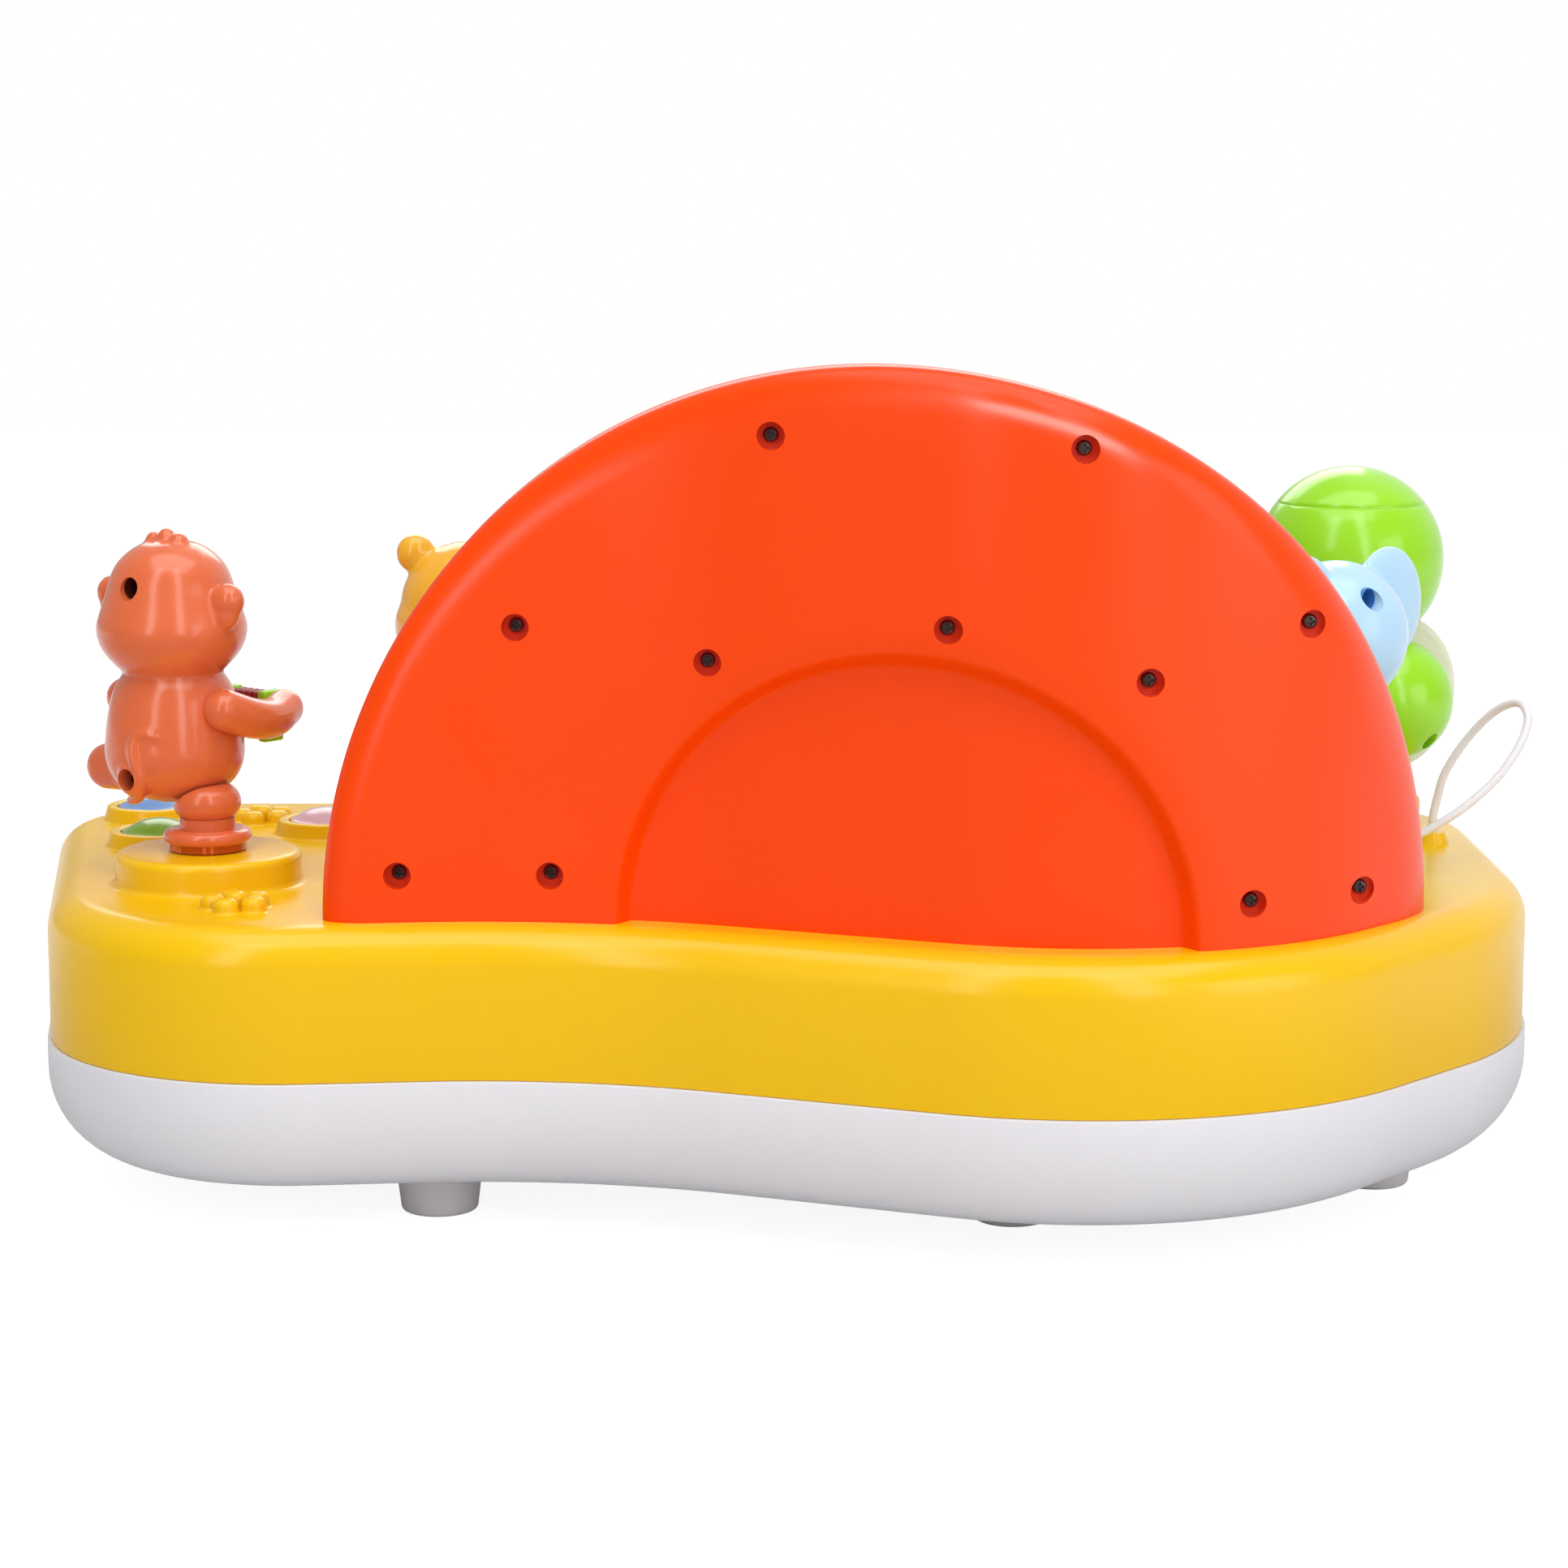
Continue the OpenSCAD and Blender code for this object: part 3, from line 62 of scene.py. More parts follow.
def only(obj):
    bpy.ops.object.select_all(action="DESELECT")
    obj.select_set(True)
    bpy.context.view_layer.objects.active = obj


def edit(obj):
    only(obj)
    bpy.ops.object.mode_set(mode="EDIT")
    bpy.ops.mesh.select_all(action="SELECT")


def done():
    bpy.ops.object.mode_set(mode="OBJECT")


# selects the edges or faces that pass a test given in mm, and stays in edit mode
def pick(obj, kind, test):
    edit(obj)
    bpy.ops.mesh.select_mode(type=kind)
    bpy.ops.mesh.select_all(action="DESELECT")
    done()
    mesh = obj.data
    if kind == "EDGE":
        for edge in mesh.edges:
            edge.select = test(*[mesh.vertices[i].co / mm for i in edge.vertices])
    else:
        for face in mesh.polygons:
            face.select = test(face.center / mm, face.normal)
    bpy.ops.object.mode_set(mode="EDIT")


# leaves the object at the origin, unturned and unscaled
def settle(obj):
    only(obj)
    bpy.ops.object.transform_apply(location=True, rotation=True, scale=True)
    return obj


def modify(obj, kind, **values):
    only(obj)
    mod = obj.modifiers.new(kind.lower(), kind)
    for key, value in values.items():
        setattr(mod, key, value)
    bpy.ops.object.modifier_apply(modifier=mod.name)
    return obj


def cut(obj, cutter):
    modify(obj, "BOOLEAN", object=cutter, operation="DIFFERENCE", solver="EXACT")
    bpy.data.objects.remove(cutter)
    return obj


def joined(parts):
    for part in parts:
        settle(part)
    bpy.ops.object.select_all(action="DESELECT")
    for part in parts:
        part.select_set(True)
    bpy.context.view_layer.objects.active = parts[0]
    if len(parts) > 1:
        bpy.ops.object.join()
    return bpy.context.view_layer.objects.active


def smooth(obj, angle=35):
    only(obj)
    bpy.ops.object.shade_smooth_by_angle(angle=math.radians(angle))
    return obj


# a finished piece: its name, body, look and the solids it stands for
def piece(obj, name, body, slot, *nodes, angle=35):
    settle(obj)
    smooth(obj, angle)
    obj.name = name
    obj.data.name = name
    obj.data.materials.clear()
    obj.data.materials.append(looks[slot])
    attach(obj, body)
    if nodes:
        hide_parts(*nodes)
    return obj


def drum(at, r, h, axis="Z", steps=48):
    turn = {"Z": (0, 0, 0), "Y": (math.pi / 2, 0, 0), "X": (0, math.pi / 2, 0)}[axis]
    bpy.ops.mesh.primitive_cylinder_add(vertices=steps, radius=r * mm, depth=h * mm, rotation=turn,
                                        location=[c * mm for c in at])
    return settle(bpy.context.object)


def block(lo, hi, soft=0, steps=4):
    centre = [(a + b) / 2 * mm for a, b in zip(lo, hi)]
    bpy.ops.mesh.primitive_cube_add(size=1, location=centre, scale=[(b - a) * mm for a, b in zip(lo, hi)])
    obj = settle(bpy.context.object)
    if soft:
        edit(obj)
        bpy.ops.mesh.bevel(offset=soft * mm, segments=steps, affect="EDGES")
        done()
    return obj


def ball(at, r, shape=(1, 1, 1), steps=48):
    bpy.ops.mesh.primitive_uv_sphere_add(segments=steps, ring_count=steps // 2, radius=r * mm,
                                         location=[c * mm for c in at], scale=shape)
    return settle(bpy.context.object)


def spread(a, b, steps):
    return [a + (b - a) * k / steps for k in range(steps + 1)]


# points along an arc of a section, angles in degrees
def bend(x, z, r, start, end, steps=6):
    angles = [math.radians(start + (end - start) * k / steps) for k in range(steps + 1)]
    return [(x + r * math.cos(a), z + r * math.sin(a)) for a in angles]


# a line of vertices through the points of a section, left in edit mode
def chain(points):
    bpy.ops.mesh.primitive_plane_add(size=1e-4, location=(points[0][0] * mm, 0, points[0][1] * mm))
    obj = settle(bpy.context.object)
    edit(obj)
    bpy.ops.mesh.select_mode(type="VERT")
    bpy.ops.mesh.select_all(action="SELECT")
    bpy.ops.mesh.merge(type="COLLAPSE")
    for a, b in zip(points, points[1:]):
        step = ((b[0] - a[0]) * mm, 0, (b[1] - a[1]) * mm)
        bpy.ops.mesh.extrude_vertices_move(TRANSFORM_OT_translate={"value": step})
    return obj


# a section (radius, height) carried round an upright axis
def turned(points, at=(0, 0, 0), steps=96):
    obj = chain(points)
    bpy.ops.mesh.select_all(action="SELECT")
    bpy.ops.mesh.spin(steps=steps, angle=2 * math.pi, center=(0, 0, 0), axis=(0, 0, 1))
    bpy.ops.mesh.select_all(action="SELECT")
    bpy.ops.mesh.remove_doubles(threshold=2e-6)
    bpy.ops.mesh.normals_make_consistent(inside=False)
    done()
    obj.location = [c * mm for c in at]
    return settle(obj)


# turns an upright piece to look along +Y and sets it at a point
def lay(obj, x, y, z):
    obj.matrix_world = Matrix.Translation(Vector((x, y, z)) * mm) @ Matrix.Rotation(math.radians(-90), 4, "X")
    return settle(obj)


# a copy of a solid's mesh, welded, with its edges softened
def cadCopy(node, soft=0, angle=35):
    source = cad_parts[node]
    obj = bpy.data.objects.new(node + "Copy", source.data.copy())
    obj.matrix_world = source.matrix_world
    scene.collection.objects.link(obj)
    for key in list(obj.keys()):
        del obj[key]
    settle(obj)
    edit(obj)
    bpy.ops.mesh.remove_doubles(threshold=2e-6)
    bpy.ops.mesh.dissolve_limited(angle_limit=math.radians(0.5))
    done()
    if soft:
        modify(obj, "BEVEL", width=soft * mm, segments=3, limit_method="ANGLE",
               angle_limit=math.radians(angle))
    return obj


# materials
def linear(rgb):
    channels = [c / 255 for c in rgb]
    return [c / 12.92 if c < 0.04045 else ((c + 0.055) / 1.055) ** 2.4 for c in channels] + [1]


def newGroup(name, inputs, outputs):
    group = bpy.data.node_groups.new(name, "ShaderNodeTree")
    for label, kind in inputs:
        group.interface.new_socket(label, in_out="INPUT", socket_type="NodeSocket" + kind)
    for label, kind in outputs:
        group.interface.new_socket(label, in_out="OUTPUT", socket_type="NodeSocket" + kind)
    return group, group.nodes.new("NodeGroupInput"), group.nodes.new("NodeGroupOutput")


# a math node on two sockets or plain numbers
def number(tree, operation, a, b):
    node = tree.nodes.new("ShaderNodeMath")
    node.operation = operation
    for socket, value in zip(node.inputs, (a, b)):
        if isinstance(value, (int, float)):
            socket.default_value = value
        else:
            tree.links.new(value, socket)
    return node.outputs[0]


# colour that drifts a little over the moulding
toneGroup, ins, outs = newGroup("toneDrift", [("Color", "Color"), ("Amount", "Float"), ("Scale", "Float")],
                                [("Color", "Color")])
coords = toneGroup.nodes.new("ShaderNodeTexCoord")
clouds = toneGroup.nodes.new("ShaderNodeTexNoise")
clouds.inputs["Detail"].default_value = 3
toneGroup.links.new(coords.outputs["Object"], clouds.inputs["Vector"])
toneGroup.links.new(ins.outputs["Scale"], clouds.inputs["Scale"])
shift = number(toneGroup, "SUBTRACT", clouds.outputs["Fac"], 0.5)
shift = number(toneGroup, "MULTIPLY", shift, ins.outputs["Amount"])
tint = toneGroup.nodes.new("ShaderNodeHueSaturation")
toneGroup.links.new(number(toneGroup, "ADD", shift, 1), tint.inputs["Value"])
toneGroup.links.new(ins.outputs["Color"], tint.inputs["Color"])
toneGroup.links.new(tint.outputs["Color"], outs.inputs["Color"])

# moulded skin: patches that were handled, and a fine grain
skinGroup, ins, outs = newGroup("mouldSkin", [("Roughness", "Float"), ("Spread", "Float"), ("Grain", "Float"),
                                              ("Depth", "Float")],
                                [("Roughness", "Float"), ("Height", "Float")])
coords = skinGroup.nodes.new("ShaderNodeTexCoord")
wear = skinGroup.nodes.new("ShaderNodeTexNoise")
wear.inputs["Scale"].default_value = 55
wear.inputs["Detail"].default_value = 5
grain = skinGroup.nodes.new("ShaderNodeTexNoise")
grain.inputs["Detail"].default_value = 2
skinGroup.links.new(coords.outputs["Object"], wear.inputs["Vector"])
skinGroup.links.new(coords.outputs["Object"], grain.inputs["Vector"])
skinGroup.links.new(ins.outputs["Grain"], grain.inputs["Scale"])
patch = number(skinGroup, "SUBTRACT", wear.outputs["Fac"], 0.5)
patch = number(skinGroup, "MULTIPLY", patch, ins.outputs["Spread"])
rough = number(skinGroup, "ADD", patch, ins.outputs["Roughness"])
skinGroup.links.new(number(skinGroup, "MAXIMUM", rough, 0.03), outs.inputs["Roughness"])
height = number(skinGroup, "MULTIPLY", grain.outputs["Fac"], ins.outputs["Depth"])
skinGroup.links.new(height, outs.inputs["Height"])

finish = {"driftScale": 18, "bumpStrength": 0.25, "bumpDistance": 0.0004, "coatRoughness": 0.14}


def moulded(name, rgb, rough=0.3, metal=0, drift=0.06, grain=900, depth=0.3, coat=0, spread=0.12, shine=0.4):
    mat = bpy.data.materials.new(name)
    mat.use_nodes = True
    tree = mat.node_tree
    shader = tree.nodes["Principled BSDF"]
    tone = tree.nodes.new("ShaderNodeGroup")
    tone.node_tree = toneGroup
    tone.inputs["Color"].default_value = linear(rgb)
    tone.inputs["Amount"].default_value = drift
    tone.inputs["Scale"].default_value = finish["driftScale"]
    skin = tree.nodes.new("ShaderNodeGroup")
    skin.node_tree = skinGroup
    for label, value in (("Roughness", rough), ("Spread", spread), ("Grain", grain), ("Depth", depth)):
        skin.inputs[label].default_value = value
    bump = tree.nodes.new("ShaderNodeBump")
    bump.inputs["Strength"].default_value = finish["bumpStrength"]
    bump.inputs["Distance"].default_value = finish["bumpDistance"]
    tree.links.new(tone.outputs["Color"], shader.inputs["Base Color"])
    tree.links.new(skin.outputs["Roughness"], shader.inputs["Roughness"])
    tree.links.new(skin.outputs["Height"], bump.inputs["Height"])
    tree.links.new(bump.outputs["Normal"], shader.inputs["Normal"])
    shader.inputs["Metallic"].default_value = metal
    shader.inputs["Specular IOR Level"].default_value = shine
    shader.inputs["Coat Weight"].default_value = coat
    shader.inputs["Coat Roughness"].default_value = finish["coatRoughness"]
    return mat


looks = {
    "white_shell": moulded("whiteShell", (222, 221, 226), 0.42, grain=2200, depth=0.6),
    "yellow_shell": moulded("yellowShell", (242, 192, 8), 0.24, depth=0.05, grain=300),
    "orange_shell": moulded("orangeShell", (249, 70, 0), 0.25, depth=0.03, grain=300, shine=0.28,
                            spread=0.06),
    "cream_panel": moulded("creamPanel", (244, 238, 218), 0.35),
    "foot_rubber": moulded("footRubber", (222, 217, 219), 0.6, grain=1600, depth=0.5),
    "steel_screw": moulded("steelScrew", (104, 98, 96), 0.38, metal=1, grain=2600),
    "steel_bright": moulded("steelBright", (190, 190, 195), 0.24, metal=1, grain=2400),
    "battery_wrap": moulded("batteryWrap", (38, 40, 44), 0.3),
    "circuit_green": moulded("circuitGreen", (26, 92, 52), 0.42, grain=1500),
    "speaker_grey": moulded("speakerGrey", (120, 122, 126), 0.4, metal=0.6),
    "paper_black": moulded("paperBlack", (28, 28, 30), 0.85, grain=2400, depth=0.9),
    "silicone_grey": moulded("siliconeGrey", (150, 150, 154), 0.65),
    "switch_black": moulded("switchBlack", (34, 34, 36), 0.45),
    "band_yellow": moulded("bandYellow", (250, 204, 40), 0.3),
    "band_green": moulded("bandGreen", (112, 188, 62), 0.3),
    "band_blue": moulded("bandBlue", (72, 156, 216), 0.3),
    "cord_white": moulded("cordWhite", (236, 232, 236), 0.34, grain=200, depth=0.02, spread=0.05),
    "monkey_brown": moulded("monkeyBrown", (226, 109, 65), 0.26, coat=0.45, grain=500, depth=0.1),
    "accordion_red": moulded("accordionRed", (150, 42, 44), 0.38),
    "bear_yellow": moulded("bearYellow", (243, 178, 48), 0.22, coat=0.3, grain=500, depth=0.2),
    "elephant_blue": moulded("elephantBlue", (184, 221, 250), 0.22, coat=0.3, grain=500, depth=0.2),
    "turtle_green": moulded("turtleGreen", (158, 224, 40), 0.22, coat=0.3, grain=500, depth=0.2),
    "turtle_cream": moulded("turtleCream", (232, 227, 206), 0.28, coat=0.2, grain=500, depth=0.2),
    "mic_white": moulded("micWhite", (230, 230, 234), 0.28, grain=300, depth=0.05),
    "mic_grille": moulded("micGrille", (176, 178, 186), 0.3, metal=0.7, grain=2000),
    "button_green": moulded("buttonGreen", (122, 164, 14), 0.2, coat=0.3),
    "button_blue": moulded("buttonBlue", (118, 156, 212), 0.2, coat=0.3),
    "button_pink": moulded("buttonPink", (220, 174, 186), 0.2, coat=0.3),
    "slider_orange": moulded("sliderOrange", (232, 96, 30), 0.34),
}
keyTones = [(226, 56, 54), (242, 130, 32), (248, 206, 42), (118, 184, 56), (54, 154, 204), (54, 92, 190),
            (130, 80, 178), (230, 130, 168)]
for k, tone in enumerate(keyTones):
    looks["key_tone_%d" % (k + 1)] = moulded("keyTone%d" % (k + 1), tone, 0.22, coat=0.2)
inkBlack = moulded("inkBlack", (24, 22, 24), 0.12, coat=0.5, depth=0.05)
deepDark = moulded("deepDark", (40, 38, 38), 0.8)
# painted shade: a darker brown and a darker blue that stand for the shade inside the figures' screw holes
holeShadeBrown = moulded("holeShadeBrown", (84, 30, 16), 0.4)
holeShadeBlue = moulded("holeShadeBlue", (62, 132, 208), 0.4)

# carried-over nodes take the look of their slot
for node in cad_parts.values():
    labels = [s.name for s in node.data.materials if s]
    for i, label in enumerate(labels):
        for key in looks:
            if key in label:
                node.data.materials[i] = looks[key]
print("materials made")

# microphone lead
lead = {
    "diameter": 2.2,
    "route": [(-174.5, -41.5, 80), (-174.5, -41, 84), (-175.5, -41, 89), (-177, -40.5, 95),
              (-180, -39.5, 101), (-184, -38, 107), (-188, -35, 112), (-191.5, -31, 115), (-194, -27, 115.5),
              (-195, -23.5, 112.5), (-193.5, -21, 108), (-190.5, -19, 103), (-186.5, -17.5, 98),
              (-181.5, -16, 93.5), (-176, -14.5, 89.5), (-170, -13.5, 86), (-164, -13, 83),
              (-158, -12.5, 80.5), (-152, -12, 79), (-146, -12, 78.4), (-140, -12, 78.4), (-134, -11.5, 79),
              (-128.5, -9.5, 81.5), (-123.5, -6.5, 86), (-119, -2.5, 92), (-114, 0.8, 97), (-107, 2, 99)],
}


# a smooth line through points of any size, with some steps between each two
def rounded(points, per=6):
    path = [Vector(p) for p in points]
    path = [path[0] * 2 - path[1]] + path + [path[-1] * 2 - path[-2]]
    out = []
    for a, b, c, d in zip(path, path[1:], path[2:], path[3:]):
        for k in range(per):
            t = k / per
            out.append(0.5 * (2 * b + (c - a) * t + (2 * a - 5 * b + 4 * c - d) * t * t
                              + (3 * b - a - 3 * c + d) * t ** 3))
    return out + [path[-2]]


route = [p * mm for p in rounded(lead["route"])]
curve = bpy.data.curves.new("lead", "CURVE")
curve.dimensions = "3D"
spline = curve.splines.new("POLY")
spline.points.add(len(route) - 1)
for point, place in zip(spline.points, route):
    point.co = (*place, 1)
curve.bevel_depth = lead["diameter"] / 2 * mm
curve.bevel_resolution = 5
curve.use_fill_caps = True
cord = bpy.data.objects.new("lead", curve)
scene.collection.objects.link(cord)
only(cord)
bpy.ops.object.convert(target="MESH")
cord = bpy.context.object
cord.name = "micLead"
cord.data.name = "micLead"
smooth(cord, 60)
cord.data.materials.clear()
cord.data.materials.append(looks["cord_white"])
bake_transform(cord)
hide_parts("mic_cord")

# plan of the housing: corners with their radii
housing = {
    "corners": [(197, -113, 39), (165.5, 84, 62), (45, 72, 145), (-102, 130.8, 96), (-190, 32, 97),
                (-191, -113, 42)],
    "floor": 12, "parting": 41, "roof": 77, "wall": 2.5, "lip": 0.8, "floorEdge": 22, "roofEdge": 9,
    "partingEdge": 0.45, "screwHole": 3.4, "rearFrom": 22,
    "screws": [(147, 2), (114, 46), (0, 58), (-128, 55), (-160, -22), (-125, -83), (121, -83)],
}


# the arc that rounds each corner of the plan
def cornerArcs():
    spots = [Vector(c[:2]) for c in housing["corners"]]
    arcs = []
    for k, here in enumerate(spots):
        r = housing["corners"][k][2]
        into = (here - spots[k - 1]).normalized()
        away = (spots[(k + 1) % len(spots)] - here).normalized()
        turn = math.atan2(into.x * away.y - into.y * away.x, into.dot(away))
        side = 1 if turn > 0 else -1
        start = here - into * r * math.tan(abs(turn) / 2)
        centre = start + Vector((-into.y, into.x)) * r * side
        arcs.append({"centre": centre, "r": r, "side": side, "turn": turn, "start": start})
    return arcs


arcs = cornerArcs()


def planPoints(inset, spacing=3.0):
    out = []
    for arc in arcs:
        steps = max(6, int(arc["r"] * abs(arc["turn"]) / spacing))
        spoke = (arc["start"] - arc["centre"]).normalized()
        reach = arc["r"] - inset * arc["side"]
        for k in range(steps + 1):
            a = arc["turn"] * k / steps
            heading = Vector((spoke.x * math.cos(a) - spoke.y * math.sin(a),
                              spoke.x * math.sin(a) + spoke.y * math.cos(a)))
            out.append(arc["centre"] + heading * reach)
    return out


rearTables = {}


# Y of the rear edge at X, for an edge drawn in by inset
def rearEdge(x, inset):
    if inset not in rearTables:
        points = planPoints(inset, 0.8)
        rearTables[inset] = sorted((p.x, p.y) for p in points if p.y > housing["rearFrom"])
    table = rearTables[inset]
    low, high = 0, len(table) - 1
    while high - low > 1:
        middle = (low + high) // 2
        low, high = (middle, high) if table[middle][0] <= x else (low, middle)
    a, b = table[low], table[high]
    return a[1] + (b[1] - a[1]) * (x - a[0]) / max(b[0] - a[0], 1e-6)


# half of the housing: plan drawn, pulled up or down, its far rim rounded, then hollowed
def housingHalf(inset, near, far, edge, steps):
    plan = planPoints(inset)
    bpy.ops.mesh.primitive_circle_add(vertices=len(plan), radius=0.1, fill_type="NGON")
    obj = bpy.context.object
    for vert, place in zip(obj.data.vertices, plan):
        vert.co = (place.x * mm, place.y * mm, near * mm)
    edit(obj)
    bpy.ops.mesh.extrude_region_move(TRANSFORM_OT_translate={"value": (0, 0, (far - near) * mm)})
    done()
    pick(obj, "EDGE", lambda a, b: abs(a.z - far) < 0.01 and abs(b.z - far) < 0.01)
    bpy.ops.mesh.bevel(offset=edge * mm, segments=steps, affect="EDGES", clamp_overlap=False)
    done()
    pick(obj, "FACE", lambda c, n: abs(c.z - near) < 0.01)
    bpy.ops.mesh.delete(type="FACE")
    bpy.ops.mesh.select_all(action="SELECT")
    bpy.ops.mesh.normals_make_consistent(inside=False)
    done()
    modify(obj, "SOLIDIFY", thickness=housing["wall"] * mm, offset=-1, use_even_offset=True)
    pick(obj, "EDGE", lambda a, b: abs(a.z - near) < 0.01 and abs(b.z - near) < 0.01)
    bpy.ops.mesh.bevel(offset=housing["partingEdge"] * mm, segments=3, affect="EDGES", clamp_overlap=False)
    done()
    return obj


lower = housingHalf(-housing["lip"], housing["parting"], housing["floor"], housing["floorEdge"], 14)
holes = [drum((x, y, housing["floor"]), housing["screwHole"], 8) for x, y in housing["screws"]]
cut(lower, joined(holes))
piece(lower, "lowerHousing", "housing", "white_shell", "base_shell")
print("lower housing made")

# the roof: a figure's place ends with its pedestal's radius; a speaker ring is radius, holes, first angle
deck = {
    "figures": {"monkey": (137, 14, 22.8), "bear": (74, -5, 14), "elephant": (-141, 6, 14),
                "turtle": (-168, -73, 8.4)},
    "buttons": {"green": (158, -39), "blue": (166, -80), "pink": (116.5, -57)},
    "flowers": [(125, 50), (136, -75)],
    "petals": 5, "petalReach": 5.6,
    "speaker": (0, 10), "mic": (-84, 2), "outlet": (-174.5, -41.5), "slider": (52, -24),
    "speakerRings": ((0, 1, 0), (8, 6, 0), (15, 12, 15), (22, 18, 0)),
    "keyWindow": ((-96.3, -100.6), (96.3, -42)),
    "buttonHole": 9.9, "postHole": 4.2, "speakerHole": 1.7, "micHole": 12, "outletHole": 2.5,
    "sliderHole": (6.2, 2),
}
roof = housing["roof"]
upper = housingHalf(0, housing["parting"], roof, housing["roofEdge"], 10)
cutters = [drum((x, y, roof), deck["buttonHole"], 20) for x, y in deck["buttons"].values()]
cutters += [drum((x, y, roof), deck["postHole"], 20) for x, y, r in deck["figures"].values()]
for reach, count, start in deck["speakerRings"]:
    for k in range(count):
        a = math.radians(start + 360 * k / count)
        at = (deck["speaker"][0] + reach * math.cos(a), deck["speaker"][1] + reach * math.sin(a), roof)
        cutters.append(drum(at, deck["speakerHole"], 12, steps=24))
cutters.append(drum((*deck["mic"], roof), deck["micHole"], 12))
cutters.append(drum((*deck["outlet"], roof), deck["outletHole"], 12, steps=24))
sx, sy = deck["slider"]
sw, sd = deck["sliderHole"]
cutters.append(block((sx - sw, sy - sd, roof - 8), (sx + sw, sy + sd, roof + 8)))
(wx0, wy0), (wx1, wy1) = deck["keyWindow"]
cutters.append(block((wx0, wy0, roof - 12), (wx1, wy1, roof + 12)))
cut(upper, joined(cutters))


def pedestal(x, y, r):
    section = [(r + 1.6, roof - 0.6)] + bend(r + 1.6, roof + 1.6, 1.6, 270, 180, 5)
    section += bend(r - 2, roof + 6, 2, 0, 90, 8)
    section += [(4.6, roof + 8), (4.05, roof + 7.4), (4.05, roof - 8), (8, roof - 8), (8, roof - 0.6),
                (r + 1.6, roof - 0.6)]
    return turned(section, (x, y, 0), 128)


def buttonRing(x, y):
    section = [(14.4, roof - 0.5)] + bend(14.4, roof + 1, 1, 270, 200, 4)
    section += bend(11.9, roof + 3.2, 0.8, 10, 90, 5) + bend(10.5, roof + 3.4, 0.6, 90, 180, 4)
    section += [(deck["buttonHole"], roof - 2.5), (12, roof - 2.5), (14.4, roof - 0.5)]
    return turned(section, (x, y, 0), 96)


def bump(x, y, r, h):
    section = [(r + 0.8, roof - 0.4)] + bend(r + 0.8, roof + 0.8, 0.8, 270, 180, 4)
    section += bend(r - 2, roof + h - 2, 2, 0, 90, 7) + [(0, roof + h)]
    section += [(0, roof - 0.4), (r + 0.8, roof - 0.4)]
    return turned(section, (x, y, 0), 40)


extras = [pedestal(*place) for place in deck["figures"].values()]
extras += [buttonRing(*place) for place in deck["buttons"].values()]
for x, y in deck["flowers"]:
    extras.append(bump(x, y, 2.6, 4.4))
    for k in range(deck["petals"]):
        a = math.radians(360 / deck["petals"] * k)
        reach = deck["petalReach"]
        extras.append(bump(x + reach * math.cos(a), y + reach * math.sin(a), 3, 3.6))
upper = joined([upper] + extras)
piece(upper, "upperHousing", "housing", "yellow_shell", "top_shell")
print("upper housing made")

foot = {
    "spots": [(79, 36), (-152, 11), (148, -75), (-149, -78), (-60, 45)],
    "section": [(0, 0)] + bend(8.2, 1.2, 1.2, 270, 360, 5) + [(10.6, 11), (11, 13), (0, 13)],
}
feet = joined([turned(foot["section"], (x, y, 0), 64) for x, y in foot["spots"]])
piece(feet, "feetRubber", "housing", "foot_rubber", "feet")
piece(cadCopy("battery_door", 0.4), "batteryDoor", "housing", "white_shell", "battery_door")


# dark pan head with a cross on a shank, looking along +Y
def screwHead(x, y, z, r, shank=0):
    head = turned([(0, 0), (r, 0)] + bend(r - 0.5, 1, 0.5, 0, 90, 4) + [(0, 1.5)], steps=32)
    for w, d in ((r * 0.62, 0.32), (0.32, r * 0.62)):
        cut(head, block((-w, -d, 0.7), (w, d, 3)))
    if shank:
        rod = [(0, -shank), (1, -shank), (1.45, -shank + 1), (1.45, -0.02), (0, -0.02)]
        head = joined([head, turned(rod, steps=32)])
    return lay(head, x, y, z)


# backboard: a section (radius, depth) carried round half a turn and bent along the rear edge
board = {
    "x": -27, "z": 77, "r": 130, "inset": 9, "depth": 30, "split": 16, "field": 40,
    "rim": 10, "rimDepth": 6.4, "frontRim": 5,
    "archX": -32, "archR": 62, "archStep": 5, "archDepth": 6,
    "holes": [(-2, 114), (-71, 112.5), (57, 69), (12.5, 62), (-41.5, 72), (-123.5, 72.5), (-86, 61), (85, 11),
              (49.5, 11), (-110.5, 10), (-138, 9.5)],
    "hole": 3.2, "seat": 6, "bore": 1.7, "screw": 1.65, "shank": 12,
    "bands": [("outer", 101, 121, "band_yellow"), ("middle", 79.5, 99.5, "band_green"),
              ("inner", 58, 78, "band_blue")],
    "bandGap": 0.25, "bandDepth": 1.85, "bandEdge": 0.6,
}


# the middle of a ring of the board moves from the arch to the outline
def ringX(r):
    start = board["archR"] + board["archStep"]
    if r < start:
        return board["archX"]
    return board["archX"] + (board["x"] - board["archX"]) * (r - start) / (board["r"] - start)


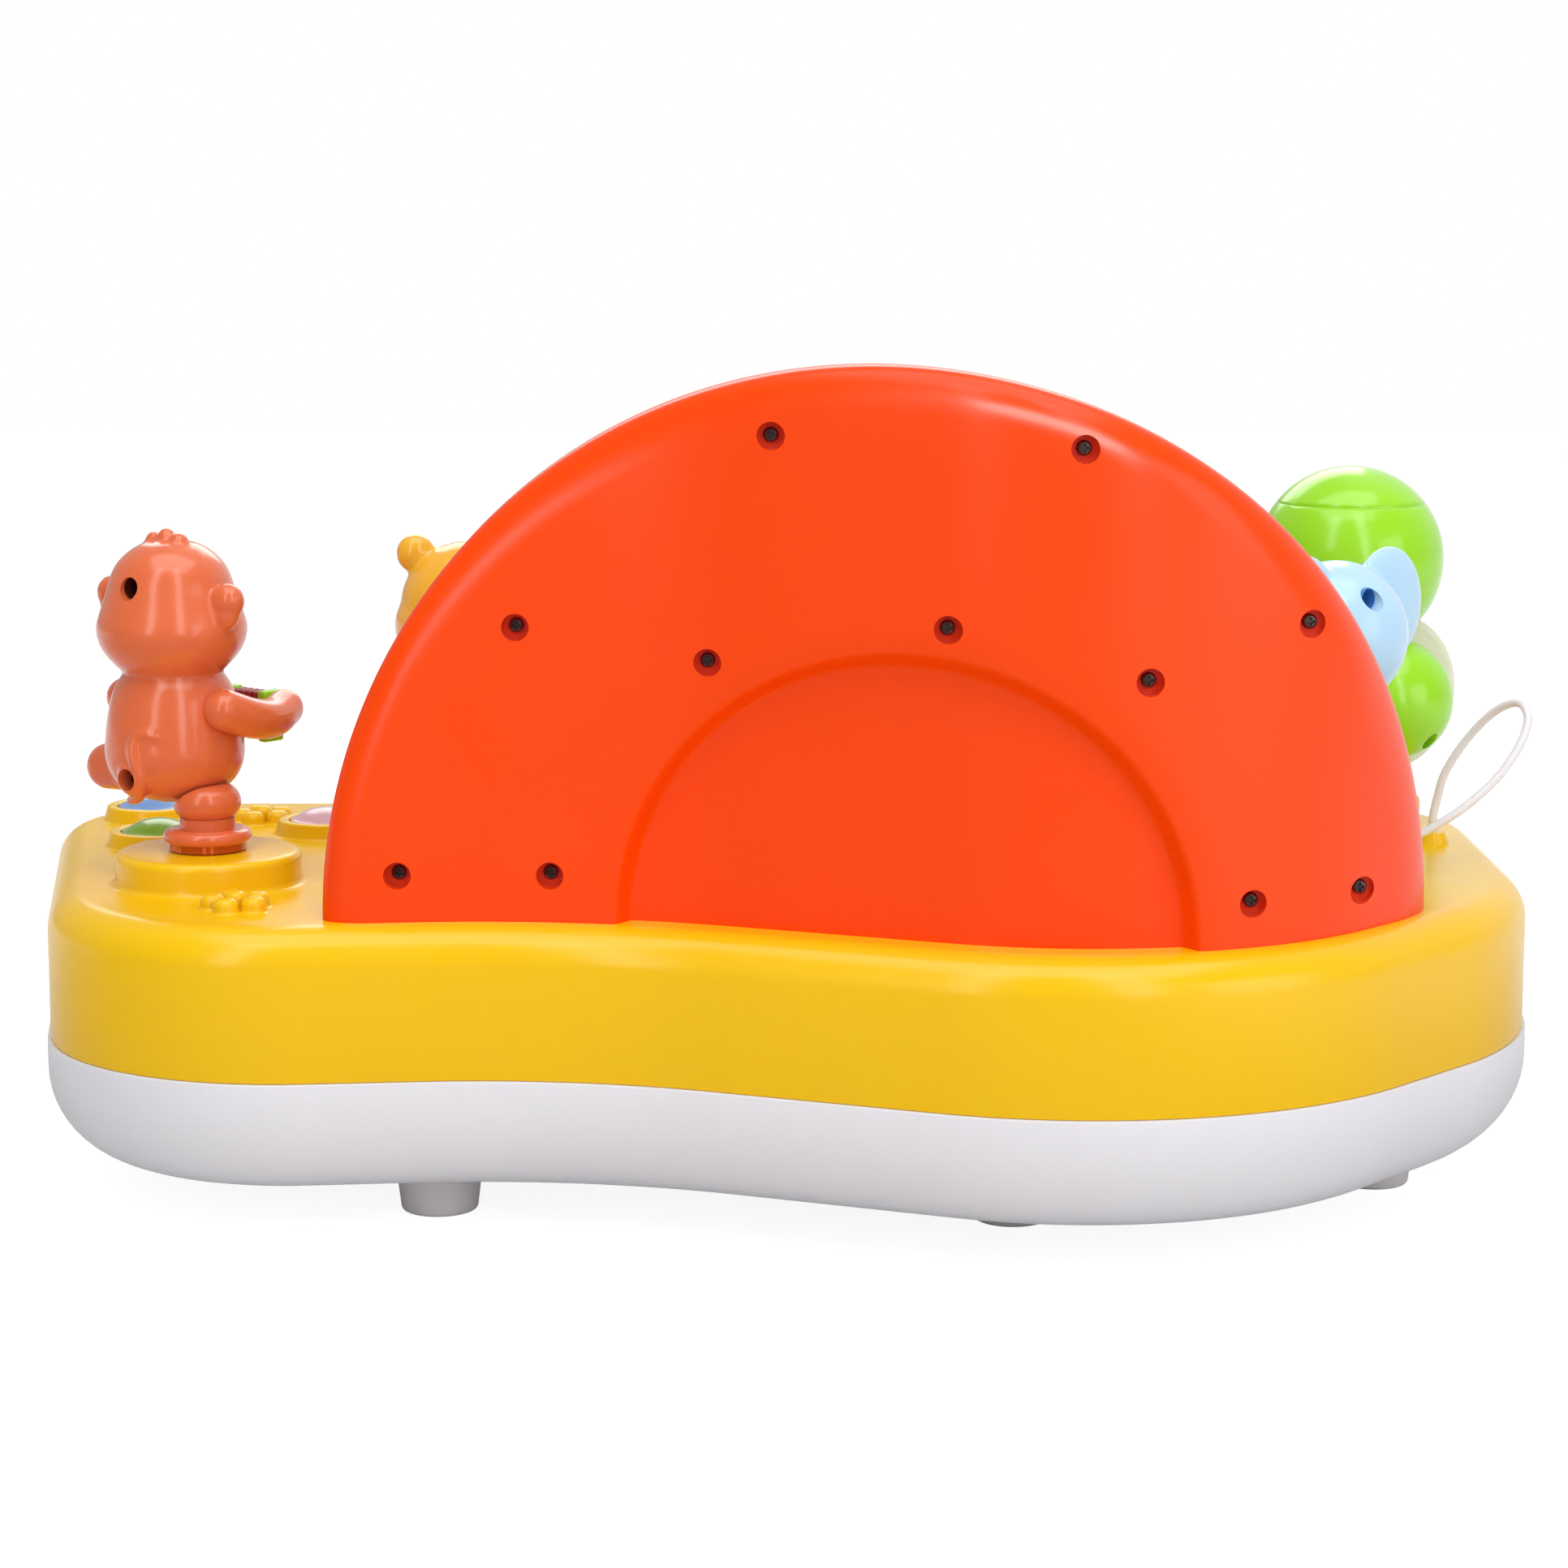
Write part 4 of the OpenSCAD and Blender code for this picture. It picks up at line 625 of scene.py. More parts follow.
def halfTurn(section, steps=150, inner=None):
    obj = chain(section)
    done()
    for vert in obj.data.vertices:
        vert.co = (vert.co.x, vert.co.z, 0)
    edit(obj)
    bpy.ops.mesh.spin(steps=steps, angle=math.pi, center=(0, 0, 0), axis=(0, 1, 0), use_auto_merge=False)
    bpy.ops.mesh.select_all(action="SELECT")
    bpy.ops.mesh.remove_doubles(threshold=1e-6)
    done()
    if inner:
        # the field inside the ring: its arc is pulled straight down to the roof
        def onArc(a, b):
            near = [abs(math.hypot(p.x, p.z) - inner) < 0.01 for p in (a, b)]
            return all(near) and abs(a.y - b.y) < 0.01

        pick(obj, "EDGE", onArc)
        bpy.ops.mesh.extrude_region_move(TRANSFORM_OT_translate={"value": (0, 0, 0)})
        bpy.ops.transform.resize(value=(1, 1, 0), center_override=(0, 0, 0))
        bpy.ops.mesh.select_all(action="SELECT")
        bpy.ops.mesh.remove_doubles(threshold=1e-6)
        done()
    for vert in obj.data.vertices:
        x, d, z = vert.co / mm
        r = max(math.hypot(x, z), inner or 0)
        along = ringX(r) + x
        vert.co = Vector((along, rearEdge(along, board["inset"]) - d, board["z"] + z)) * mm
    edit(obj)
    bpy.ops.mesh.fill_holes(sides=0)
    bpy.ops.mesh.select_all(action="SELECT")
    bpy.ops.mesh.normals_make_consistent(inside=False)
    done()
    return obj


def ease(t):
    return t * t * (3 - 2 * t)


outerR, rim, split, field = board["r"], board["rim"], board["split"], board["field"]
arch, archStep, archDepth = board["archR"], board["archStep"], board["archDepth"]
rearSection = [(r, archDepth) for r in spread(field, arch, 4)[:-1]]
rearSection += [(arch + archStep * t, archDepth * (1 - ease(t))) for t in spread(0, 1, 10)]
rearSection += [(r, 0) for r in spread(arch + archStep, outerR - rim, 8)[1:-1]]
rearSection += [(outerR - rim + rim * math.sin(a), board["rimDepth"] * (1 - math.cos(a)))
                for a in spread(0, math.pi / 2, 16)]
rearSection += [(outerR, split - 0.5), (outerR - 0.5, split)]
rearSection += [(r, split) for r in spread(outerR - 0.5, field, 12)[1:]]
rearShell = halfTurn(rearSection, inner=field)
# each hole is one stepped cutter: wide down to the seat, then the bore
holeR, boreR, seat = board["hole"], board["bore"], board["seat"]
stepped = [(0, -20), (boreR, -20), (boreR, -seat), (holeR, -seat), (holeR, 18), (0, 18)]
holeSpots = [(x, rearEdge(x, board["inset"]), board["z"] + h) for x, h in board["holes"]]
cutters = [lay(turned(stepped, steps=40), *place) for place in holeSpots]
cut(rearShell, joined(cutters))
piece(rearShell, "rearShell", "housing", "orange_shell", "board_back", angle=40)
screws = [screwHead(x, y - seat + 0.1, z, board["screw"], board["shank"]) for x, y, z in holeSpots]
piece(joined(screws), "boardScrews", "housing", "steel_screw", "board_screws", angle=40)

depth, frontRim = board["depth"], board["frontRim"]
frontSection = [(r, split + 0.15) for r in spread(field, outerR - 0.4, 12)] + [(outerR, split + 0.55)]
frontSection += [(outerR - frontRim + frontRim * math.cos(a), depth - frontRim + frontRim * math.sin(a))
                 for a in spread(0, math.pi / 2, 10)]
frontSection += [(r, depth) for r in spread(outerR - frontRim, field, 14)[1:]]
frontShell = halfTurn(frontSection, inner=field)
cutters = [drum((x, y - 14, z), boreR, 14, axis="Y", steps=24) for x, y, z in holeSpots]
cut(frontShell, joined(cutters))
piece(frontShell, "frontShell", "housing", "cream_panel", "board_front", angle=40)

# bands laid on the front, with rounded edges
near, far, edge = depth + board["bandGap"], depth + board["bandDepth"], board["bandEdge"]
quarter = spread(0, math.pi / 2, 4)[1:]
for label, r0, r1, slot in board["bands"]:
    loop = [(r, near) for r in spread(r0, r1, 6)] + [(r1, far - edge)]
    loop += [(r1 - edge + edge * math.cos(a), far - edge + edge * math.sin(a)) for a in quarter]
    loop += [(r, far) for r in spread(r1 - edge, r0 + edge, 6)[1:]]
    loop += [(r0 + edge - edge * math.sin(a), far - edge + edge * math.cos(a)) for a in quarter]
    band = halfTurn(loop + [(r0, near)])
    piece(band, label + "Band", "housing", slot, "rainbow_" + label, angle=40)
print("backboard made")

# keys: a hollow bar with a rounded front, and a knuckle behind that sits on the rod
keyRow = {
    "count": 8, "pitch": 24, "gap": 0.9, "front": -99, "rear": -43, "top": 81, "under": 64,
    "wall": 2.2, "rearWall": 4.2, "topWall": 2.6, "frontEdge": 4, "edge": 1.1,
    "rod": (-37, 66), "bore": 1.6, "knuckle": 4, "arm": 6.4,
}
rodY, rodZ = keyRow["rod"]
for k in range(keyRow["count"]):
    x = (k - (keyRow["count"] - 1) / 2) * keyRow["pitch"]
    w = (keyRow["pitch"] - keyRow["gap"]) / 2
    bar = block((x - w, keyRow["front"], keyRow["under"]), (x + w, keyRow["rear"], keyRow["top"]))
    pick(bar, "EDGE", lambda a, b: min(a.z, b.z) > keyRow["top"] - 1 and max(a.y, b.y) < keyRow["front"] + 1)
    bpy.ops.mesh.bevel(offset=keyRow["frontEdge"] * mm, segments=8, affect="EDGES")
    done()
    modify(bar, "BEVEL", width=keyRow["edge"] * mm, segments=4, limit_method="ANGLE",
           angle_limit=math.radians(60))
    hollow = block((x - w + keyRow["wall"], keyRow["front"] + keyRow["wall"], keyRow["under"] - 3),
                   (x + w - keyRow["wall"], keyRow["rear"] - keyRow["rearWall"],
                    keyRow["top"] - keyRow["topWall"]))
    cut(bar, hollow)
    half = keyRow["arm"]
    arm = block((x - half, keyRow["rear"] - 2, rodZ - 3), (x + half, rodY, rodZ + 3), 0.4, 2)
    knuckle = drum((x, rodY, rodZ), keyRow["knuckle"], 13, axis="X")
    bore = drum((x, rodY, rodZ), keyRow["bore"], 20, axis="X", steps=32)
    cut(arm, drum((x, rodY, rodZ), 3.2, 40, axis="X"))
    arm = joined([arm, cut(knuckle, bore)])
    name = "key_%d" % (k + 1)
    piece(joined([bar, arm]), "pianoKey%d" % (k + 1), name, "key_tone_%d" % (k + 1), name, angle=40)
print("keys made")

# dome buttons with a flange under the roof and a stub that meets the pad
button = {"height": 7, "dome": 14, "domeTurn": (0.05, 0.64)}
crown, dome = roof + button["height"], button["dome"]
for label, (x, y) in deck["buttons"].items():
    section = [(0, crown)]
    section += [(dome * math.sin(a), crown - dome * (1 - math.cos(a)))
                for a in spread(*button["domeTurn"], 10)]
    section += bend(9.1, roof + 3.6, 0.4, 40, 0, 3)
    section += [(9.5, roof - 2.8), (11.5, roof - 2.8), (11.5, roof - 4.8), (3, roof - 4.8), (3, roof - 6.5),
                (0, roof - 6.5)]
    name = "button_" + label
    piece(turned(section, (x, y, 0), 72), label + "Button", name, name, name)

piece(cadCopy("power_slider", 0.25), "powerSlider", "power_slider", "slider_orange", "power_slider")

# microphone: cup on the deck, handle, ball with a wire grille
mx, my = deck["mic"]
mic = {"ballZ": 152, "ball": 16.6, "socket": 17.05, "core": 15.2, "wire": 0.7, "belt": (16.2, 0.75),
       "leadZ": 99, "leadHole": 1.6}
cupSection = ([(18.6, roof)] + bend(18.6, roof + 1, 1, 270, 190, 4) + bend(15.3, roof + 15.2, 0.8, 10, 170, 8)
              + [(11.5, roof + 13), (11.5, roof + 1.7), (9, roof + 1.7), (9, roof - 4.4), (11.8, roof - 4.4),
                 (11.8, roof), (18.6, roof)])
piece(turned(cupSection, (mx, my, 0), 96), "micCup", "housing", "band_blue", "mic_cup")
handleSection = [(0, 79)] + bend(9.8, 80.2, 1.2, 270, 360, 4)
handleSection += [(11, 101), (10.3, 109), (10.2, 114), (11.4, 124), (13, 132.6)]
handleSection += bend(13, 134, 1, 300, 360, 3) + bend(13, 138, 1, 0, 60, 3) + [(11.2, 141), (0, 141)]
handle = turned(handleSection, (mx, my, 0), 96)
cut(handle, drum((mx - 11, my, mic["leadZ"]), mic["leadHole"], 8, axis="X", steps=32))
cut(handle, ball((mx, my, mic["ballZ"]), mic["socket"], steps=64))
piece(handle, "micHandle", "microphone", "mic_white", "mic_handle")
piece(cadCopy("mic_sleeve"), "micSleeve", "microphone", "cord_white", "mic_sleeve", angle=50)
bpy.ops.mesh.primitive_ico_sphere_add(subdivisions=4, radius=mic["ball"] * mm,
                                      location=(mx * mm, my * mm, mic["ballZ"] * mm))
grille = settle(bpy.context.object)
modify(grille, "WIREFRAME", thickness=mic["wire"] * mm, offset=0, use_even_offset=True)
core = ball((mx, my, mic["ballZ"]), mic["core"])
beltR, beltWire = mic["belt"]
belt = turned(bend(beltR, mic["ballZ"], beltWire, 0, 360, 12), (mx, my, 0), 96)
piece(joined([grille, belt]), "micGrille", "microphone", "mic_grille", "mic_ball", angle=60)
piece(core, "micCore", "microphone", "paper_black")
core.data.materials[0] = deepDark
print("microphone made")

# figures: rounded forms melted together, split into halves at the seam, set on their posts
top = 85


# a row of balls along a line
def strand(points, radii, steps=7):
    out = []
    for (a, b), (ra, rb) in zip(zip(points, points[1:]), zip(radii, radii[1:])):
        for k in range(steps + 1):
            t = k / steps
            out.append(ball([p + (q - p) * t for p, q in zip(a, b)], ra + (rb - ra) * t, steps=24))
    return out


def mirrored(points, radii):
    return [form for side in (-1, 1) for form in strand([(side * x, y, z) for x, y, z in points], radii)]


def ears(at, r, shape, steps):
    return [ball((side * at[0], at[1], at[2]), r, shape, steps) for side in (-1, 1)]


def melted(parts, voxel=0.7, rounds=8):
    obj = joined(parts)
    modify(obj, "REMESH", mode="VOXEL", voxel_size=voxel * mm, use_smooth_shade=True)
    return modify(obj, "SMOOTH", factor=0.5, iterations=rounds)


def halfOf(obj, seam, keepRear):
    copy = obj.copy()
    copy.data = obj.data.copy()
    scene.collection.objects.link(copy)
    edit(copy)
    bpy.ops.mesh.bisect(plane_co=(0, seam * mm, 0), plane_no=(0, 1, 0), use_fill=True,
                        clear_inner=keepRear, clear_outer=not keepRear)
    done()
    pick(copy, "EDGE", lambda a, b: abs(a.y - seam) < 1e-3 and abs(b.y - seam) < 1e-3)
    bpy.ops.mesh.bevel(offset=0.25 * mm, segments=2, affect="EDGES", clamp_overlap=True)
    done()
    return copy


# sets a form on its pedestal: turned on the post, moved aside from it, then turned about itself
def stand(obj, spot, turn, mid=0, twist=0):
    post = Matrix.Translation(Vector((spot[0], spot[1], top)) * mm)
    aside = Matrix.Translation((mid * mm, 0, 0))
    turns = [Matrix.Rotation(math.radians(angle), 4, "Z") for angle in (turn, twist)]
    obj.matrix_world = post @ turns[0] @ aside @ turns[1]
    return settle(obj)


# thin sleeve inside a screw hole, from its bottom to just under the skin, that carries painted shade
def paintedShadeSleeve(x, z, bottom, r, skin):
    outer, inner, foot = r - 0.02, r - 0.2, bottom + 0.3
    section = [(outer, foot), (outer, skin - 0.5), (inner, skin - 0.3), (inner, foot), (outer, foot)]
    return lay(turned(section, steps=32), x, 0, z)


# rear and front half of a figure; a hole is x, z, the Y of its bottom, and its radius
def halves(obj, seam, holes):
    rear, front = halfOf(obj, seam, True), halfOf(obj, seam, False)
    bpy.data.objects.remove(obj)
    for x, z, bottom, r in holes:
        cut(rear, drum((x, bottom + 20, z), r, 40, axis="Y", steps=32))
    return rear, front


# two eyes, a nose and a smile, the same plain face on every figure; each is x, y, z, radius
def face(name, body, spot, turn, mid, eyes, nose, smile, twist=0):
    parts = ears(eyes[:3], eyes[3], (0.8, 0.45, 1.15), 32)
    parts.append(ball(nose[:3], nose[3], (1.25, 0.7, 0.85), steps=32))
    x, y, z, r = smile
    arc = [(x * math.sin(a), y - 1.1 * math.cos(a), z - r * math.cos(a)) for a in spread(-1.1, 1.1, 14)]
    parts += strand(arc, [0.6] * len(arc), 2)
    obj = joined(parts)
    piece(stand(obj, spot, turn, mid, twist), name, body, "paper_black", angle=60)
    obj.data.materials[0] = inkBlack
    return obj


# monkey
spot, turn, mid, twist = deck["figures"]["monkey"][:2], -40, 11.4, 7
# head and body are radius, height, from the seat up; the tail is sideways, height, radius of the skin there
monkey = {
    "head": [(0, 40.6), (9, 41.4), (13, 44.2), (17.1, 49), (18.5, 54), (17.4, 58.6), (15.9, 63), (14.2, 68.2),
             (11.6, 71.8), (7, 74.9), (0, 76.4)],
    "body": [(0, 11), (5, 11.4), (10.2, 13.2), (14.9, 16.8), (17.1, 22), (16.9, 27.6), (16.2, 33), (15, 38),
             (13.4, 41.4), (10, 44.6), (0, 46)],
    "holes": [(0, 65, 8, 2.8), (0, 18.5, 7.5, 2.7)],
    "ears": [((18.7, 0.4, 61.8), 4.4), ((18.5, 0.8, 58.4), 3.5)], "earShape": (1, 0.85, 1),
    "tuft": (-4, 0, 4),
    "leg": [(10, -1, 19), (18, -2.5, 18), (24.2, -2.5, 17.4)], "legR": [7, 6.4, 5.9],
    "tail": [(2, 29.2, 16.2), (5, 30, 16.1), (7.4, 28.6, 16.3), (8, 25, 17), (6.8, 21, 17), (6, 17, 16.2),
             (7, 13.8, 14.2), (9.5, 12.6, 13.2)], "tailR": 1.3,
    "boss": [(0, 14.2, 18.5), (0, 13.2, 18)], "bossR": [4.6, 4.6],
    "arm": [(18.2, -0.5, 35.2), (19, -8.5, 32.4), (17, -17, 31.4), (13.8, -24, 32.8)],
    "armR": 5.2, "taper": 0.4,
    "face": [(4.8, -14.2, 64.5, 2), (0, -18, 57, 2), (5, -17.2, 53.5, 3)],
}
forms = [turned(rounded(monkey["head"], 3)), turned(rounded(monkey["body"], 3))]
for side in (-1, 1):
    forms += [ball((side * x, y, z), r, monkey["earShape"], steps=32) for (x, y, z), r in monkey["ears"]]
forms += strand(monkey["leg"], monkey["legR"])
forms += [ball((x, 1, 75.8 - abs(x) * 0.25), 2.6, (0.95, 1, 1.2), steps=24) for x in monkey["tuft"]]


# a point on the skin as the camera sees it
def onSkin(x, z, r, turn):
    y = math.sqrt(r * r - x * x)
    a = math.radians(-turn)
    return (x * math.cos(a) - y * math.sin(a), x * math.sin(a) + y * math.cos(a), z)


tail = [onSkin(x, z, r, turn + twist) for x, z, r in monkey["tail"]]
tail = [tuple(p) for p in rounded(tail, 3)]
forms += strand(tail, [monkey["tailR"]] * len(tail), 2)
forms += strand(monkey["boss"], monkey["bossR"], 1)
rear, front = halves(melted(forms, 0.6, 5), 0, monkey["holes"])
heads = joined([screwHead(x, bottom - 0.2, z, r - 0.5) for x, z, bottom, r in monkey["holes"]])
piece(stand(heads, spot, turn, mid, twist), "monkeyScrewHeads", "monkey", "steel_screw")
# painted shade: sleeves in a darkened brown stand for the shade inside the monkey's screw holes
holeShadeSleeves = joined([paintedShadeSleeve(x, z, bottom, r, bottom + 6) for x, z, bottom, r in monkey["holes"]])
piece(stand(holeShadeSleeves, spot, turn, mid, twist), "monkeyHolePaintedShade", "monkey", "monkey_brown")
holeShadeSleeves.data.materials[0] = holeShadeBrown
piece(stand(rear, spot, turn, mid, twist), "monkeyRear", "monkey", "monkey_brown", "monkey_back")
piece(stand(front, spot, turn, mid, twist), "monkeyFront", "monkey", "monkey_brown", "monkey_front")
arms = []
for side in (-1, 1):
    bow = rounded([(side * x, y, z) for x, y, z in monkey["arm"]], 4)
    radii = [monkey["armR"] - monkey["taper"] * k / len(bow) for k in range(len(bow))]
    arms += strand([tuple(p) for p in bow], radii, 2)
arms = melted(arms, 0.6, 5)
cut(arms, turned(rounded(monkey["body"], 3)))
piece(stand(arms, spot, turn, mid), "monkeyArms", "monkey", "monkey_brown", "monkey_arms")

# accordion: two end plates and the folds between them
accordion = {
    "plate": ((-1.5, -28.4, 23.8), (1.5, -21.8, 36.8)), "plateAt": 7.4, "plateEdge": 0.8,
    "fold": ((-0.75, -28, 24.3), (0.75, -22.2, 36.3)), "pitch": 2.2, "foldEdge": 0.5,
    "core": ((-5.8, -27.2, 25.4), (5.8, -23, 35.2)),
}


def slab(box, x, edge):
    lo, hi = box
    return block((x + lo[0], *lo[1:]), (x + hi[0], *hi[1:]), edge, 3)


plates = [slab(accordion["plate"], side * accordion["plateAt"], accordion["plateEdge"]) for side in (-1, 1)]
plates = joined(plates)
folds = [block(*accordion["core"])]
folds += [slab(accordion["fold"], k * accordion["pitch"], accordion["foldEdge"]) for k in range(-2, 3)]
folds = stand(joined(folds), spot, turn, mid)
piece(folds, "accordionBellows", "monkey", "accordion_red", "monkey_accordion")
piece(stand(plates, spot, turn, mid), "accordionPlates", "monkey", "turtle_green")
face("monkeyFace", "monkey", spot, turn, mid, *monkey["face"], twist)
print("monkey made")

# bear
spot, turn = deck["figures"]["bear"][:2], 0
bear = {
    "balls": [((0, 0, 57.8), 16.6), ((0, 0, 53.6), 18, (1, 0.97, 0.75)), ((0, 0, 31.2), 13.2),
              ((0, 0, 21.8), 16.5, (1, 1, 0.74)), ((0, 0, 42), 10.5)],
    "ears": ((12.5, 0.8, 71.4), 4.9, (1, 0.75, 1), 32),
    "arm": [(11, -2, 34), (12, -21, 33)], "armR": [4.5, 4.1],
    "face": [(6.2, -14.8, 61.5, 2.2), (0, -17.6, 55.5, 2.3), (5, -16, 51.5, 3)],
}
forms = [ball(*form) for form in bear["balls"]] + ears(*bear["ears"]) + mirrored(bear["arm"], bear["armR"])
rear, front = halves(melted(forms), 0, [])
piece(stand(rear, spot, turn), "bearRear", "bear", "bear_yellow", "bear_back")
piece(stand(front, spot, turn), "bearFront", "bear", "bear_yellow", "bear_front")
face("bearFace", "bear", spot, turn, 0, *bear["face"])
piece(cadCopy("bear_drum", 0.25), "bearDrum", "bear", "accordion_red", "bear_drum")

# elephant
spot, turn = deck["figures"]["elephant"][:2], 45
elephant = {
    "balls": [((0, 0, 52.4), 17.8, (1, 1, 1.03)), ((0, 0, 29), 13), ((0, 0, 21.8), 16.7, (1, 1, 0.74)),
              ((0, 0, 38), 11)],
    "ears": ((17.2, 2.6, 58.6), 14.2, (0.97, 0.26, 1.04), 64),
    "arm": [(11, -1, 33), (13, -14, 27)], "armR": [4.6, 4.2],
    "trunk": [(0, -16, 50.8), (0, -24.4, 44.2), (0, -30.4, 45.8), (0, -33.4, 51.2)],
    "trunkR": [5.3, 4.4, 3.9, 3.4],
    "hole": (4.3, 62.4, 4, 2.8), "screw": 2.2,
    "face": [(7, -16.6, 57.5, 2.2), (0, -34.1, 53.4, 1.3), (6, -15.6, 42.5, 2.5)],
}
forms = [ball(*form) for form in elephant["balls"]] + ears(*elephant["ears"])
forms += mirrored(elephant["arm"], elephant["armR"]) + strand(elephant["trunk"], elephant["trunkR"])
rear, front = halves(melted(forms), 0, [elephant["hole"]])
x, z, bottom, r = elephant["hole"]
head = screwHead(x, bottom - 0.2, z, elephant["screw"])
piece(stand(head, spot, turn), "elephantScrewHead", "elephant", "steel_screw")
# painted shade: a sleeve in a darkened blue stands for the shade inside the elephant's screw hole
holeShadeSleeve = paintedShadeSleeve(x, z, bottom, r, bottom + 9)
piece(stand(holeShadeSleeve, spot, turn), "elephantHolePaintedShade", "elephant", "elephant_blue")
holeShadeSleeve.data.materials[0] = holeShadeBlue
piece(stand(rear, spot, turn), "elephantRear", "elephant", "elephant_blue", "elephant_back")
piece(stand(front, spot, turn), "elephantFront", "elephant", "elephant_blue", "elephant_front")
face("elephantFace", "elephant", spot, turn, 0, *elephant["face"])
print("bear and elephant made")

# turtle: head in two halves with a groove round it, domed shell, cream belly with a rolled rim
spot, turn = deck["figures"]["turtle"][:2], 45
turtle = {
    "headAt": (0, -17, 62), "headR": 24.5, "grooveRise": 15, "grooveZ": 77.1, "groove": 0.28,
    "middle": (-156, -85, 147), "outward": (-1.8, 0, 0.2), "fuller": 1.025,
    "face": [(8.5, -38.6, 67, 2.8), (0, -41.3, 61, 1.6), (7, -40, 56, 3.4)],
    "post": [(0, -25), (4, -25), (4, 0.4)] + bend(6.2, 1.4, 1, 270, 450, 6)
            + [(4.6, 2.6), (4.6, 6), (6, 9), (6.4, 14), (0, 14)],
}
for node, name in (("turtle_head_back", "turtleHeadRear"), ("turtle_head_front", "turtleHeadFront"),
                   ("turtle_shell", "turtleShell")):
    part = cadCopy(node, 0.2, 60)
    if name != "turtleShell":
        grooveR = math.sqrt(turtle["headR"] ** 2 - turtle["grooveRise"] ** 2) + 0.1
        ring = bend(grooveR, turtle["grooveZ"], turtle["groove"], 0, 360, 8)
        cut(part, stand(turned(ring, (0, -17, 0), 120), spot, turn))
        # a little fuller and further out than the solid
        middle, outward = Vector(turtle["middle"]) * mm, Vector(turtle["outward"]) * mm
        part.matrix_world = (Matrix.Translation(middle + outward) @ Matrix.Scale(turtle["fuller"], 4)
                             @ Matrix.Translation(-middle))
        settle(part)
    piece(part, name, "turtle", "turtle_green", node)
belly = {"r": 19.8, "height": 27.5, "yaw": -20, "bulge": 6.5}
bellySection = [(0, -0.4), (16.6, -0.4)] + bend(belly["r"], 0, 1.5, 240, 460, 9)
bellySection += [(belly["r"] * math.cos(a), 0.9 + belly["bulge"] * math.sin(a))
                 for a in spread(0.3, math.pi / 2, 12)]
plate = turned(bellySection, steps=96)
plate.matrix_world = (Matrix.Translation(Vector((0, -1.2, belly["height"])) * mm)
                      @ Matrix.Rotation(math.radians(belly["yaw"]), 4, "Z")
                      @ Matrix.Rotation(math.radians(90), 4, "X"))
settle(plate)
cut(plate, ball(turtle["headAt"], turtle["headR"] + 0.2, steps=96))
piece(stand(plate, spot, turn), "turtleBelly", "turtle", "turtle_cream", "turtle_belly")
face("turtleFace", "turtle", spot, turn, 0, *turtle["face"])

posts = {"monkey": "monkey_brown", "bear": "bear_yellow", "elephant": "elephant_blue"}
for label, slot in posts.items():
    piece(cadCopy(label + "_post"), label + "Post", label, slot, label + "_post", angle=40)
post = stand(turned(turtle["post"], steps=64), spot, turn)
piece(post, "turtlePost", "turtle", "turtle_green", "turtle_post")
print("figures made")

# studio: a floor that only keeps the shadow, white surroundings, and soft boxes
# a ramp is from, to, first value, last value, along X or Y
studio = {
    "bounce": 0.8, "catcher": 0.3, "glow": 0.9, "ambient": 0.32,
    "floorBehind": (-0.25, 0.12, 1.0, 0.06), "floorRight": (-0.15, -0.45, 0, 1.1),
    "wallBehind": (-0.5, 0.4, 0.6, 0.06), "wallRight": (0.15, -0.15, 0.75, 1.6),
    "aim": (0, 0.02, 0.1),
}


def ramp(tree, source, values):
    node = tree.nodes.new("ShaderNodeMapRange")
    for socket, value in zip(list(node.inputs)[1:5], values):
        socket.default_value = value
    tree.links.new(source, node.inputs[0])
    return node.outputs[0]


def chosen(tree, chooser, without, within):
    node = tree.nodes.new("ShaderNodeMixShader")
    for socket, output in zip(node.inputs, (chooser, without, within)):
        tree.links.new(output, socket)
    return node.outputs[0]


def axesOf(tree, source):
    node = tree.nodes.new("ShaderNodeSeparateXYZ")
    tree.links.new(source, node.inputs[0])
    return node.outputs["X"], node.outputs["Y"]


bpy.ops.mesh.primitive_plane_add(size=6, location=(0, 0, 0))
floor = bpy.context.object
floor.name = "studioFloor"
paper = bpy.data.materials.new("floorPaper")
paper.use_nodes = True
tree = paper.node_tree
tree.nodes.clear()
rays = tree.nodes.new("ShaderNodeLightPath")
bounce, catcher = [tree.nodes.new("ShaderNodeBsdfDiffuse") for k in range(2)]
bounce.inputs["Color"].default_value = [studio["bounce"]] * 3 + [1]
catcher.inputs["Color"].default_value = [studio["catcher"]] * 3 + [1]
glow, sheen = [tree.nodes.new("ShaderNodeEmission") for k in range(2)]
glow.inputs["Strength"].default_value = studio["glow"]
both = tree.nodes.new("ShaderNodeAddShader")
tree.links.new(catcher.outputs[0], both.inputs[0])
tree.links.new(glow.outputs[0], both.inputs[1])
